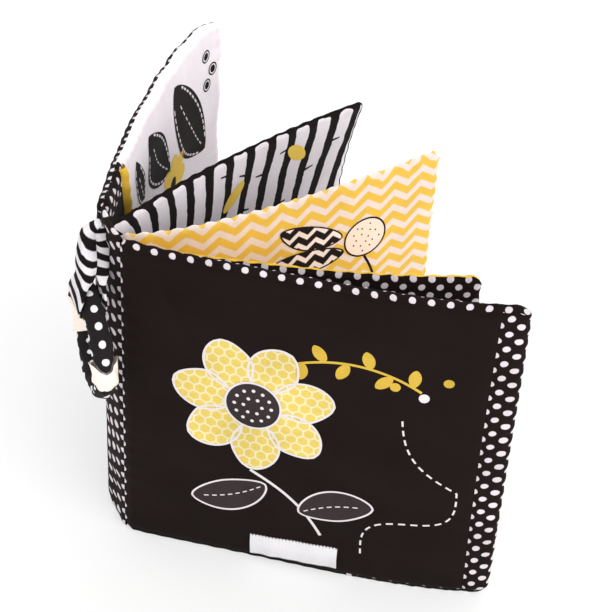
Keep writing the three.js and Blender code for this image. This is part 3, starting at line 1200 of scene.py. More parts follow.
def sideways(path: Array) -> Array:
    """Unit vectors to the left of a path: its steps turned by a quarter.

    Args:
        path: Points (n, 2).

    Returns:
        Vectors (n, 2).
    """
    step = np.gradient(path, axis=0)
    length = np.maximum(np.hypot(step[:, 0], step[:, 1]), 1e-9)
    return np.stack([-step[:, 1], step[:, 0]], 1) / length[:, None]


def ribbon(path: Array, half_width: Array | float, across: int = 3) -> tuple[Array, Array]:
    """A strip along a path: each point moved sideways by shares of the half width.

    Args:
        path: Points (n, 2) along the strip.
        half_width: Half the strip's width at each point.
        across: Points across the strip.

    Returns:
        Grids of s and h.
    """
    share = np.linspace(-1, 1, across)
    wide = np.broadcast_to(np.asarray(half_width, float), (len(path),))
    grid = path[:, None] + sideways(path)[:, None] * (wide[:, None] * share)[..., None]
    return grid[..., 0], grid[..., 1]


def petal_half(count: int, width: float, blunt: float) -> Array:
    """Half widths along a petal: a power of a sine.

    Args:
        count: Number of points along it.
        width: Half its greatest width.
        blunt: The power, lower for rounder ends.

    Returns:
        Half widths (count,).
    """
    along = np.linspace(0, 1, count)
    return width * np.maximum(np.sin(math.pi * along), 0) ** blunt


def arc(
    centre: Sequence[float], radius: Sequence[float], turns: Sequence[float], count: int
) -> Array:
    """Points of an ellipse between two angles.

    Args:
        centre: Its centre.
        radius: Its two half axes.
        turns: First and last angle in degrees.
        count: Number of points.

    Returns:
        Points (count, 2).
    """
    angle = np.radians(np.linspace(*turns, count))
    return np.asarray(centre) + np.stack([radius[0] * np.cos(angle), radius[1] * np.sin(angle)], 1)


@dataclass
class Print:
    """Flat printed shapes on one side of a leaf, gathered by finish."""

    leaf: Leaf
    side: Side
    grids: dict[Finish, list[tuple[Array, Array, float]]] = field(default_factory=dict)
    lowest: float = 0.10
    step: float = 0.05

    def add(self, finish: Finish, grid: tuple[Array, Array], layer: int = 0) -> None:
        """Adds a shape.

        Args:
            finish: Its ink.
            grid: Grids of s and h.
            layer: Its place in the pile of inks.
        """
        self.grids.setdefault(finish, []).append((*grid, self.lowest + self.step * layer))

    def disc(
        self, finish: Finish, centre: Sequence[float], radius: Sequence[float], layer: int = 0
    ) -> None:
        """Adds an ellipse: rings of points that shrink to its centre.

        Args:
            finish: Its ink.
            centre: Its centre.
            radius: Its two half axes.
            layer: Its place in the pile of inks.
        """
        rim_points, ring_gap = 41, 1.5
        rim = arc(centre, radius, (0, 360), rim_points)
        rings = max(3, int(max(radius) / ring_gap))
        share = np.linspace(0.0, 1, rings)[:, None, None]
        grid = np.asarray(centre) + share * (rim - np.asarray(centre))[None]
        self.add(finish, (grid[..., 0], grid[..., 1]), layer)

    def petal(
        self, finish: Finish, path: Array, width: float, layer: int = 0, blunt: float = 0.6
    ) -> None:
        """Adds a leaf or petal: a ribbon whose half width is a power of a sine along it.

        Args:
            finish: Its ink.
            path: Its midline.
            width: Half its greatest width.
            layer: Its place in the pile of inks.
            blunt: The power, lower for rounder ends.
        """
        lane = 0.8
        lanes = max(5, int(width / lane) * 2 + 1)
        self.add(finish, ribbon(path, petal_half(len(path), width, blunt), lanes), layer)

    def outline(
        self, finish: Finish, path: Array, width: float, half: float, layer: int, blunt: float
    ) -> None:
        """Adds a line round a petal: two thin ribbons on its sides.

        Args:
            finish: Its ink.
            path: The petal's midline.
            width: Half the petal's greatest width.
            half: Half the line's width.
            layer: Its place in the pile of inks.
            blunt: The petal's power.
        """
        reach = petal_half(len(path), width, blunt)[:, None]
        for sign in (-1, 1):
            self.add(finish, ribbon(path + sign * reach * sideways(path), half), layer)

    def dashes(
        self, finish: Finish, path: Array, dash: float, gap: float, half: float, layer: int = 0
    ) -> None:
        """Adds a dashed line: short ribbons at even spaces along a path.

        Args:
            finish: Its ink.
            path: The line's points.
            dash: Length of a dash.
            gap: Length of a gap.
            half: Half the line's width.
            layer: Its place in the pile of inks.
        """
        run = run_along(path)
        dash_points = 5
        for start in np.arange(0, run[-1] - dash, dash + gap):
            place = np.linspace(start, start + dash, dash_points)
            points = np.stack([np.interp(place, run, path[:, k]) for k in (0, 1)], 1)
            self.add(finish, ribbon(points, half), layer)

    def finish(self, name: str, body: Body) -> None:
        """Makes one piece of each ink.

        Args:
            name: Start of the pieces' names.
            body: The body that they ride.
        """
        for ink, grids in self.grids.items():
            patches = []
            for s, h, lift in grids:
                points = self.leaf.place(self.side, s, h, lift)
                patch = Patch(points, np.stack([s, h], -1))
                patch.flip = self.turned(patch)
                patches.append(patch)
            piece = make_piece(f"{name}_{ink.name}", patches, ink)
            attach(piece, body.value)

    def turned(self, patch: Patch) -> bool:
        """Whether a patch has to be flipped to face away from its leaf.

        Args:
            patch: The patch.

        Returns:
            True when its own faces point into the leaf.
        """
        p = patch.points
        cross = np.cross(p[1:, :-1] - p[:-1, :-1], p[:-1, 1:] - p[:-1, :-1])
        s = float(np.mean(patch.cloth[..., 0])) / self.leaf.form.width
        outward = self.side.value * heading(float(self.leaf.course.at(np.array(s))) + 90)
        return float((cross.reshape(-1, 3) @ outward).sum()) < 0


def wavy(
    start: Sequence[float], end: Sequence[float], swing: float, waves: float, count: int = 60
) -> Array:
    """A path from start to end that swings from side to side as a sine.

    Args:
        start: Its first point.
        end: Its last point.
        swing: Its largest distance from the straight line.
        waves: Number of waves.
        count: Number of points.

    Returns:
        Points (count, 2).
    """
    share = np.linspace(0, 1, count)[:, None]
    a, b = np.asarray(start, float), np.asarray(end, float)
    run = b - a
    side = np.array([-run[1], run[0]]) / np.hypot(*run)
    return a + share * run + swing * np.sin(TAU * waves * share) * side


# Sub-assemblies


@dataclass(frozen=True)
class WovenLabel:
    """The bare woven label at the front cover's foot, with a pinked upper edge of small teeth."""

    near: float = 59
    far: float = 98
    foot: float = 5.2
    tall: float = 12.8
    tooth: float = 0.9
    tooth_pitch: float = 1.5
    tilt: float = 0.04
    raised: float = 0.45
    arch: float = 0.5
    facing_at: float = 0.48
    thickness: float = 0.5

    def build(self, leaf: Leaf) -> None:
        """Makes the label, lifted off the cover by a squared sine up it and a small wave along it.

        Args:
            leaf: The front cover's leaf.
        """
        s = np.linspace(self.near, self.far, 157)
        grid_s, grid_v = np.meshgrid(s, np.linspace(0, 1, 16), indexing="ij")
        teeth = self.tooth * np.abs(2 * np.mod(grid_s / self.tooth_pitch, 1) - 1)
        grid_h = self.foot + (self.tall - teeth) * grid_v + self.tilt * (grid_s - 80)
        arch = self.arch * np.sin(math.pi * grid_v) ** 2
        lift = self.raised + arch + 0.12 * np.sin(grid_s / 2.6)
        points = leaf.place(Side.RIGHT, grid_s, grid_h, 0.0)
        across = heading(float(leaf.course.at(np.array(self.facing_at))) - 90)
        points = points + lift[..., None] * across
        piece = make_piece("woven_label", [Patch(points, np.stack([grid_s, grid_h], -1))], LABEL)
        solid = piece.modifiers.new("thickness", "SOLIDIFY")
        solid.thickness = self.thickness * MM
        solid.offset = 0
        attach(piece, Body.FRONT_COVER.value)
        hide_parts("front_cover_label")


@dataclass
class FrontCover:
    """Front cover: dark panel, dotted band and lining, bare label and print."""

    fore_seam: float = 153.4
    lap: float = 1.8
    roll: float = 2.5
    dots_up: float = 1.3
    dot_row: float = 162.8
    between_dots: float = 1.85
    foot_dots_from: float = 100
    foot_dots_over: float = 8
    band_shift: float = 1.5
    fill: float = 0.5
    leaf: Leaf = field(init=False)

    def __post_init__(self) -> None:
        """Sets the leaf."""
        seams = (
            Seam(Side.RIGHT, Run.UPRIGHT, self.fore_seam),
            Seam(Side.RIGHT, Run.UPRIGHT, self.lap),
            Seam(Side.RIGHT, Run.LEVEL, self.roll),
            Seam(Side.RIGHT, Run.LEVEL, COVER.height - self.roll),
        )
        relief = Relief(
            seed=3,
            pucker=0.4,
            waves=0.9,
            outline=0.22,
            fore_out=2.0,
            thin_top=1.7,
            root_rise=2.2,
            creases=((16, 152, 26, 128, 0.9), (20, 150, 33, 118, -0.7)),
        )
        course = Course(root=8.9, middle=-2.3, fore=11.8, root_turn=-16.5)
        self.leaf = Leaf(COVER, -2, 0, course, relief, seams)

    def build(self) -> None:
        """Makes and places the cover's pieces."""
        t, w, seam = COVER.height, COVER.width, self.fore_seam
        breaks = ([self.lap, seam], [self.roll, t - self.roll])
        between = (self.roll, t - self.roll)
        panel = self.leaf.patch(Side.RIGHT, (self.lap, seam), between, breaks)
        lap = self.leaf.patch(Side.RIGHT, (0, self.lap), between, breaks)
        band = self.leaf.patch(Side.RIGHT, (seam, w), between, breaks)
        band.cloth[..., 0] -= self.band_shift
        lining = self.leaf.rolled(Side.LEFT, self.roll, extra=[self.lap, seam])
        self.lay_dots(*lining)
        pieces = (
            ("cover_panel_cloth", [panel], BLACK, ["front_cover_panel"]),
            ("cover_band_cloth", [band], BLACK_DOTS, ["front_cover_fore_band"]),
            ("cover_lining_cloth", lining, BLACK_DOTS, ["front_cover_lining"]),
            ("cover_spine_lap", [lap], BLACK_DOTS, []),
        )
        for name, patches, finish, nodes in pieces:
            dress(make_piece(name, patches, finish), Body.FRONT_COVER, nodes)
        fill_leaf(self.leaf, "front_cover", Body.FRONT_COVER)
        WovenLabel().build(self.leaf)
        self.print()

    def lay_dots(self, inside: Patch, top: Patch, foot: Patch) -> None:
        """Lays the lining's dots by the distance along its cloth round the top's roll.

        On the foot's strip the cloth between two rows of dots shows up to where the dots come in.

        Args:
            inside: The lining's inner side.
            top: Its strip rolled over the top.
            foot: Its strip rolled over the foot.
        """
        steps = np.linalg.norm(np.diff(top.points, axis=1), axis=-1)
        above_seam = np.concatenate([np.zeros((len(steps), 1)), np.cumsum(steps, 1)], 1)
        top.cloth[..., 1] = self.dot_row + self.dots_up - above_seam
        rolled = float(above_seam[:, -1].mean())
        inside.cloth[..., 1] += self.dot_row + self.dots_up - rolled - COVER.height
        dotted = rising(foot.cloth[..., 0], self.foot_dots_from, self.foot_dots_over)
        foot.cloth[..., 1] = dotted * foot.cloth[..., 1] + (1 - dotted) * self.between_dots

    def print(self) -> None:
        """Prints a honeycomb flower on a stem with leaves, a sprig and a stitched line."""
        art = Print(self.leaf, Side.RIGHT)
        self.print_flower(art)
        stem = wavy((58, 56), (90, 24), 4, 0.5)
        art.add(PRINT_WHITE, ribbon(stem, 0.7))
        leaf_half = 8.5
        for base, tip in (((65, 49), (32, 33)), ((80, 36), (112, 46))):
            path = wavy(base, tip, 3, 0.5, 40)
            art.petal(PRINT_CHARCOAL, path, leaf_half, 1)
            art.outline(PRINT_WHITE, path, leaf_half, 0.45, 2, 0.6)
            art.dashes(PRINT_WHITE, path[3:36], 2.2, 1.6, 0.3, 3)
        sprig = arc((96, 62), (58, 62), (58, 118), 60)
        art.add(PRINT_MUSTARD, ribbon(sprig, 0.6))
        for k, at in enumerate(range(4, 58, 9)):
            lean = (sprig[at + 1] - sprig[at]) / np.hypot(*(sprig[at + 1] - sprig[at]))
            side = np.array([-lean[1], lean[0]]) * (1 if k % 2 else -1)
            path = sprig[at] + np.linspace(0, 1, 16)[:, None] * (side * 8.5 + lean * 4)
            art.petal(PRINT_MUSTARD, path, 2.6, 1)
        rise = wavy((108, 18), (146, 62), 9, 1, 80)
        trail = np.concatenate([rise, wavy((146, 62), (120, 104), 8, 0.5, 60)[1:]])
        art.dashes(PRINT_WHITE, trail, 3.0, 2.2, 0.42)
        for k, place in enumerate(((128, 112), (116, 116), (137, 121))):
            art.disc(PRINT_MUSTARD if k else PRINT_WHITE, place, (2.2, 2.2), 1)
        art.finish("cover_print", Body.FRONT_COVER)

    def print_flower(self, art: Print) -> None:
        """Prints the flower: seven outlined petals round a dark heart with two rings of beads.

        Args:
            art: The cover's print.
        """
        centre, petals, first_turn = np.array([58.0, 92.0]), 7, 12
        petal_width, blunt, heart = 10.5, 0.55, (12, 12)
        share = np.linspace(0, 1, 30)[:, None]
        for k in range(petals):
            way = direction(math.radians(360 / petals * k + first_turn))
            bend = np.array([-way[1], way[0]]) * 2.0 * np.sin(math.pi * share)
            path = centre + way * (9 + 26 * share) + bend
            art.petal(PRINT_YELLOW, path, petal_width, 1, blunt)
            art.outline(PRINT_WHITE, path, petal_width, 0.5, 2, blunt)
        art.disc(PRINT_CHARCOAL, centre, heart, 3)
        art.add(PRINT_WHITE, ribbon(arc(centre, heart, (0, 360), 60), 0.5), 4)
        for count, reach in ((12, 8), (6, 4)):
            for k in range(count):
                bead = centre + reach * direction(k * TAU / count)
                art.disc(PRINT_WHITE, bead, (0.8, 0.8), 4)


def birch_twigs(art: Print) -> None:
    """Prints short black twigs on the bars' sides and two yellow leaves.

    Args:
        art: The leaf's print.
    """
    rng = np.random.default_rng(21)
    bar_pitch, bar_slant, bar_top, bar_side = 12.2, 0.1, 146.7, 1.4
    for k, height in enumerate((139, 121, 133, 112, 128, 104, 137, 118, 96, 130)):
        bar = bar_pitch * (6 + k * 0.62 // 1)
        sign = 1 if k % 2 else -1
        start = np.array([bar - bar_slant * (bar_top - height) + bar_side * sign, height])
        reach = np.array([sign * rng.uniform(3.6, 5.2), rng.uniform(-1.6, 1.8)])
        twig = start + np.linspace(0, 1, 6)[:, None] * reach
        art.add(PRINT_BLACK, ribbon(twig, np.linspace(0.75, 0.4, 6)))
    for at, tilt in (((76, 124), 1.2), ((113, 132), -1.0)):
        path = np.asarray(at) + np.linspace(-1, 1, 30)[:, None] * np.array([5.5, 5.5 * tilt])
        art.petal(PRINT_SUN, path, 3.6, 1, 0.5)


def speckled_fruit(art: Print) -> None:
    """Prints a speckled round fruit with an ink line, and two zigzag-striped leaves.

    Args:
        art: The leaf's print.
    """
    centre, radius = np.array([116.0, 117.0]), (10.5, 9.5)
    art.disc(PRINT_CREAM, centre, radius, 1)
    art.add(PRINT_BLACK, ribbon(arc(centre, radius, (0, 360), 70), 0.42), 2)
    rng = np.random.default_rng(9)
    specks, speck_turn, speck_reach = 16, 2.4, 8.0
    for k in range(specks):
        turn, reach = speck_turn * k, speck_reach * math.sqrt((k + 0.5) / specks)
        spread = reach * np.array([math.cos(turn), 0.9 * math.sin(turn)])
        at = centre + spread + rng.uniform(-0.4, 0.4, 2)
        art.disc(PRINT_BLACK, at, (0.42, 0.42), 2)
    for base, tip, wide in (((104, 121), (72, 134), 6.0), ((105, 113), (70, 118), 5.4)):
        path = wavy(base, tip, 1.6, 0.5, 60)
        art.petal(PRINT_ZEBRA, path, wide, 1, 0.6)
        art.outline(PRINT_BLACK, path, wide, 0.35, 2, 0.6)
    art.add(PRINT_BLACK, ribbon(wavy((116, 107), (124, 74), 3, 0.5, 40), 0.6), 1)


@dataclass
class InnerLeaf:
    """One of the three inner leaves: two cloths, one of which rolls over onto the other side."""

    name: str
    body: Body
    station: int
    form: LeafForm
    course: Course
    front: Finish
    back: Finish
    rolls: Side
    roll: float
    fore: float | None
    relief: Relief
    art: Callable[[Print], None] | None = None
    dots_down: float = 0.0
    inward: float = 2.35
    fill: float = 0.3
    leaf: Leaf = field(init=False)

    def __post_init__(self) -> None:
        """Sets the leaf."""
        t, w = self.form.height, self.form.width
        other = Side(-self.rolls.value)
        seams = [Seam(other, Run.LEVEL, self.roll), Seam(other, Run.LEVEL, t - self.roll)]
        if self.fore:
            seams.append(Seam(other, Run.UPRIGHT, w - self.fore))
        self.leaf = Leaf(
            self.form, self.station, self.inward, self.course, self.relief, tuple(seams)
        )

    def build(self) -> None:
        """Makes and places the leaf's two cloths."""
        t, w, roll = self.form.height, self.form.width, self.roll
        other = Side(-self.rolls.value)
        edge = w - self.fore if self.fore else w
        breaks = ([edge] if self.fore else [], [roll, t - roll])
        inset = [self.leaf.patch(other, (0, edge), (roll, t - roll), breaks)]
        inset[0].cloth[..., 1] += self.dots_down
        whole = self.leaf.rolled(self.rolls, roll, fore=self.fore)
        sides = ((Side.RIGHT, "front", self.front), (Side.LEFT, "back", self.back))
        for side, part, finish in sides:
            patches = whole if side is self.rolls else inset
            piece = make_piece(f"{self.name}_{part}_cloth", patches, finish)
            dress(piece, self.body, [f"{self.name}_{part}"])
        fill_leaf(self.leaf, self.name, self.body)
        if self.art:
            shapes = Print(self.leaf, Side.RIGHT)
            self.art(shapes)
            shapes.finish(f"{self.name}_print", self.body)


@dataclass
class BackCover:
    """Back cover: dark outside, and a gutter panel, piping and white page inside."""

    roll: float = 2.4
    strip: float = 3.6
    gutter_strip: float = 9.5
    gutter: float = 28.0
    piping: float = 4.2
    piping_seam: float = 0.6
    swell: float = 2.7
    rope: float = 0.25
    rope_pitch: float = 6.5
    lap_least: float = 0.05
    lap_more: float = 0.2
    dots_past_seam: float = 0.75
    fill: float = 0.5
    leaf: Leaf = field(init=False)

    def __post_init__(self) -> None:
        """Sets the leaf."""
        seams = (
            Seam(Side.RIGHT, Run.UPRIGHT, self.gutter),
            Seam(Side.RIGHT, Run.UPRIGHT, self.gutter + self.piping),
            Seam(Side.RIGHT, Run.LEVEL, self.roll),
        )
        relief = Relief(
            seed=11,
            pucker=0.5,
            waves=1.0,
            outline=0.7,
            outline_length=29,
            left_out=1.2,
            right_puff=0.9,
            left_in=2.4,
        )
        course = Course(root=97.7, middle=89.3, fore=92.1, fore_turn=-43)
        self.leaf = Leaf(COVER, 2, 0, course, relief, seams)

    def build(self) -> None:
        """Makes and places the cover's pieces."""
        t, w, roll = COVER.height, COVER.width, self.roll
        first, last = self.gutter, self.gutter + self.piping
        deep = t - self.gutter_strip
        breaks = ([first, last], [roll, deep, t - self.strip])
        outside = self.leaf.patch(Side.LEFT, (0, w), (0, t - self.strip), breaks)
        gutter = self.leaf.patch(Side.RIGHT, (0, first), (roll, deep), breaks)
        page = self.leaf.patch(Side.RIGHT, (last, w), (roll, t), breaks)
        lap = self.over_top((last, w), breaks[0], (0.0, 1.0), (0.0, 0.0))
        strips = [
            self.leaf.patch(Side.RIGHT, (0, last), (deep, t), breaks, (False, True)),
            self.over_top((0, last), breaks[0], (0.0, 0.0), (0.0, 1.0)),
            self.over_top((last, w), breaks[0], (1.0, 1.0), (0.0, 1.0)),
            self.leaf.patch(Side.RIGHT, (0, w), (0, roll), breaks, (False, True)),
        ]
        pieces = (
            ("back_panel_cloth", [outside], BLACK, ["back_cover_panel"]),
            ("back_gutter_cloth", [gutter], BLACK, ["back_cover_gutter_panel"]),
            ("back_page_cloth", [page, lap], PAGE_WHITE, ["back_cover_page"]),
            ("back_edge_strip", strips, BLACK_DOTS, []),
        )
        for name, patches, finish, nodes in pieces:
            dress(make_piece(name, patches, finish), Body.BACK_COVER, nodes)
        fill_leaf(self.leaf, "back_cover", Body.BACK_COVER)
        self.pipe()
        self.print()

    def over_top(
        self,
        s_range: tuple[float, float],
        breaks: Sequence[float],
        lap: tuple[float, float],
        down: tuple[float, float],
    ) -> Patch:
        """A strip of cloth on the outside along the top, above or below the page's seam.

        The page's cloth laps over the top by a length that grows smoothly along the cover and
        falls off again at the fore-edge. The dots below the seam lie on the bias, so that the
        seam cuts a row of them.

        Args:
            s_range: Nearest and furthest distance from the spine.
            breaks: Lines across the width that neighbouring patches share.
            lap: Shares of the lap at the strip's upper and lower edge.
            down: Shares of the way from there to the strip's end.

        Returns:
            The patch.
        """
        s = within(self.leaf.lines(COVER.width, breaks), s_range)
        grid_s, grid_q = np.meshgrid(s, np.linspace(0, 1, 9), indexing="ij")
        more = self.lap_more * rising(grid_s, 45, 55)
        length = self.lap_least + more - self.lap_more * rising(grid_s, 151, 8)
        top = length * (lap[0] + (lap[1] - lap[0]) * grid_q)
        away = down[0] + (down[1] - down[0]) * grid_q
        depth = top + (self.strip - top) * away
        points = self.leaf.place(Side.LEFT, grid_s, COVER.height - depth)
        lie = depth - top + self.dots_past_seam
        cloth = np.stack([grid_s + lie, grid_s - lie], -1) / math.sqrt(2)
        return Patch(points, cloth)

    def pipe(self) -> None:
        """Makes the rolled piping: a half ellipse between its two seams, with a slanting twist."""
        under, from_end, sunk = self.piping_seam, 0.8, 0.2
        s = np.linspace(self.gutter - under, self.gutter + self.piping + under, 15)
        h = np.linspace(from_end, COVER.height - from_end, 110)
        grid_s, grid_h = np.meshgrid(s, h, indexing="ij")
        share = (grid_s - s[0]) / (s[-1] - s[0])
        rope = self.rope * np.sin(TAU * (grid_h / self.rope_pitch + 0.5 * share))
        lift = (self.swell + rope) * np.sqrt(np.clip(4 * share * (1 - share), 0, 1)) - sunk
        points = self.leaf.place(Side.RIGHT, grid_s, grid_h)
        facing = heading(self.leaf.course.at(grid_s / COVER.width) - 90)
        points = points + lift[..., None] * facing
        cloth = np.stack([grid_s, grid_h], -1)
        piece = make_piece("yellow_piping", [Patch(points, cloth)], YELLOW)
        dress(piece, Body.BACK_COVER, ["back_cover_piping"])

    def print(self) -> None:
        """Prints broad dark leaves with stitched rims, a flower and berries."""
        art = Print(self.leaf, Side.RIGHT)
        blunt, rim_share, count = 0.75, 0.82, 60
        for base, tip, wide in (
            ((150, 96), (112, 151), 15.0),
            ((102, 112), (70, 150), 12.5),
            ((64, 122), (50, 150), 7.0),
        ):
            path = wavy(base, tip, 3, 0.5, count)
            art.petal(PRINT_BLACK, path, wide, 1, blunt)
            art.dashes(PRINT_WHITE, path[6:50], 3.0, 2.2, 0.4, 2)
            reach = petal_half(count, rim_share * wide, blunt)[:, None]
            for sign in (-1, 1):
                rim = (path + sign * sideways(path) * reach)[5:55]
                art.dashes(PRINT_WHITE, rim, 3.0, 1.5, 0.55, 2)
        bloom, petals, petal_width = np.array([108.0, 98.0]), 8, 5.6
        for k in range(petals):
            path = bloom + direction(TAU * k / petals) * (4 + 15 * np.linspace(0, 1, 24)[:, None])
            art.petal(PRINT_SUN, path, petal_width, 1, 0.5)
        art.disc(PRINT_BLACK, bloom, (5.6, 5.6), 2)
        for berry in ((150, 147), (156, 138), (151, 131)):
            art.disc(PRINT_BLACK, berry, (3.4, 3.4), 1)
            art.add(PRINT_WHITE, ribbon(arc(berry, (2.3, 2.3), (0, 360), 40), 0.35), 2)
        art.add(PRINT_BLACK, ribbon(wavy((48, 108), (150, 78), 6, 1, 90), 0.6), 1)
        for k in range(5):
            s = 56 + 20 * k
            art.petal(PRINT_SUN, wavy((s, 52), (s + 8, 72), 2, 0.5, 24), 5.0, 1)
        art.finish("page_print", Body.BACK_COVER)


@dataclass
class ClothSpine:
    """The spine: a dotted strip rolled over its ends and a dark lining, split at the middle leaf.

    The strip's dots are spread along the spine, as its cloth is drawn out there.
    """

    drawn_out: float = 0.58
    height: float = 160
    outward: float = 0.9
    inward: float = 1.5
    roll: float = 2.0
    past_end: float = 0.6
    seam_sink: float = 1.0

    def swell(self, along: Array, z: Array) -> Array:
        """How far the strip bulges: a sine up the spine, less low down, plus puckers.

        Args:
            along: Distance along the spine.
            z: Height.

        Returns:
            Outward shifts.
        """
        free = np.cos(math.pi / 2 * np.clip(along / SPINE.half, -1, 1))
        bulge = 0.6 * np.sin(math.pi * z / self.height) - 1.0 * falling(z, 95, 50)
        ripple = 0.35 * np.sin(TAU * z / 8.3 + along / 3) + 0.3 * np.sin(TAU * z / 27 + 1)
        return free * (bulge + ripple)

    def rounding(self, along: Array) -> Array:
        """Share of the thickness along the spine: 1, falling off steeply at its two edges."""
        return np.sqrt(np.clip(1 - (np.abs(along) / (SPINE.half + 0.9)) ** 12, 0.02, 1))

    def half_strip(
        self, name: str, start: float, end: float, crossing: Sequence[float]
    ) -> None:
        """Makes one half of the strip and its lining.

        The strip's profile comes over the top in a half circle, goes down the outside and turns
        in again at the foot.

        Args:
            name: Start of the pieces' names.
            start: First distance along the spine.
            end: Last distance along the spine.
            crossing: Where a bend would start and end, along the spine; the points there are worked
                out but not used.
        """
        along = np.linspace(start, end, 22)
        h, hem = self.height, self.roll + self.seam_sink
        turn = np.linspace(0, math.pi, 9)
        thick = (self.outward + self.inward) / 2
        mid = (self.outward - self.inward) / 2
        z_round, o_round = h - thick + thick * np.sin(turn), thick * np.cos(turn)
        straight = np.linspace(h - 4, 4, 80)
        out_z = np.concatenate([[h - hem], z_round[::-1], straight, h - z_round, [hem]])
        flat = np.full(len(straight), thick)
        out_o = np.concatenate([[-thick], o_round[::-1], flat, o_round, [-thick]]) + mid
        grid_a, grid_z = np.meshgrid(along, out_z, indexing="ij")
        grid_o = np.broadcast_to(out_o, grid_a.shape)
        bulge = np.where(out_o > mid, self.swell(grid_a, grid_z), 0)
        offset = mid + (grid_o - mid) * self.rounding(grid_a) + bulge
        points = SPINE.point(grid_a, offset, np.maximum(grid_z, 0))
        run = np.concatenate([[0], np.cumsum(np.hypot(np.diff(out_z), np.diff(out_o)))])
        cloth = np.stack([grid_a * self.drawn_out, np.broadcast_to(-run, grid_a.shape)], -1)
        strip = make_piece(f"{name}_strip", [Patch(points, cloth)], BLACK_DOTS)
        grid_a, grid_z = np.meshgrid(along, np.linspace(hem, h - hem, 60), indexing="ij")
        points = SPINE.point(grid_a, mid - thick * self.rounding(grid_a), grid_z)
        lining_patch = Patch(points, np.stack([grid_a, grid_z], -1))
        lining = make_piece(f"{name}_lining", [lining_patch], BLACK)
        first, last = (
            SPINE.point(np.array(at), np.array(0.0), np.array(h / 2)) * MM for at in crossing
        )
        for piece in (strip, lining):
            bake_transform(piece)
        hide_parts("spine_panel")
        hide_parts("spine_lining")

    def build(self) -> None:
        """Makes both halves."""
        end = SPINE.half + self.past_end
        self.half_strip("spine_front", -end, 0.0, (-7.5, -1.5))
        self.half_strip("spine_back", 0.0, end, (7.5, 1.5))


@dataclass(frozen=True)
class Sleeve:
    """One of the ring's sleeves, with the angles of its ends and of the points they run to."""

    name: str
    node: str
    ends: tuple[float, float]
    finish: Finish
    vees: tuple[float, float] = (0, 0)
    shift: float = 0.0


SLEEVES = (
    Sleeve(
        "ring_dotted_cloth_front", "ring_dotted_sleeve_front", (-65, 76), RING_DOTS, (0, 13), 3.5
    ),
    Sleeve("ring_plain_cloth_lower", "ring_plain_sleeve_lower", (76, 110), CREAM, (13, 0)),
    Sleeve(
        "ring_dotted_cloth_back", "ring_dotted_sleeve_back", (110, 240), RING_DOTS, shift=3.0
    ),
    Sleeve("ring_plain_cloth_upper", "ring_plain_sleeve_upper", (240, 295), CREAM),
)


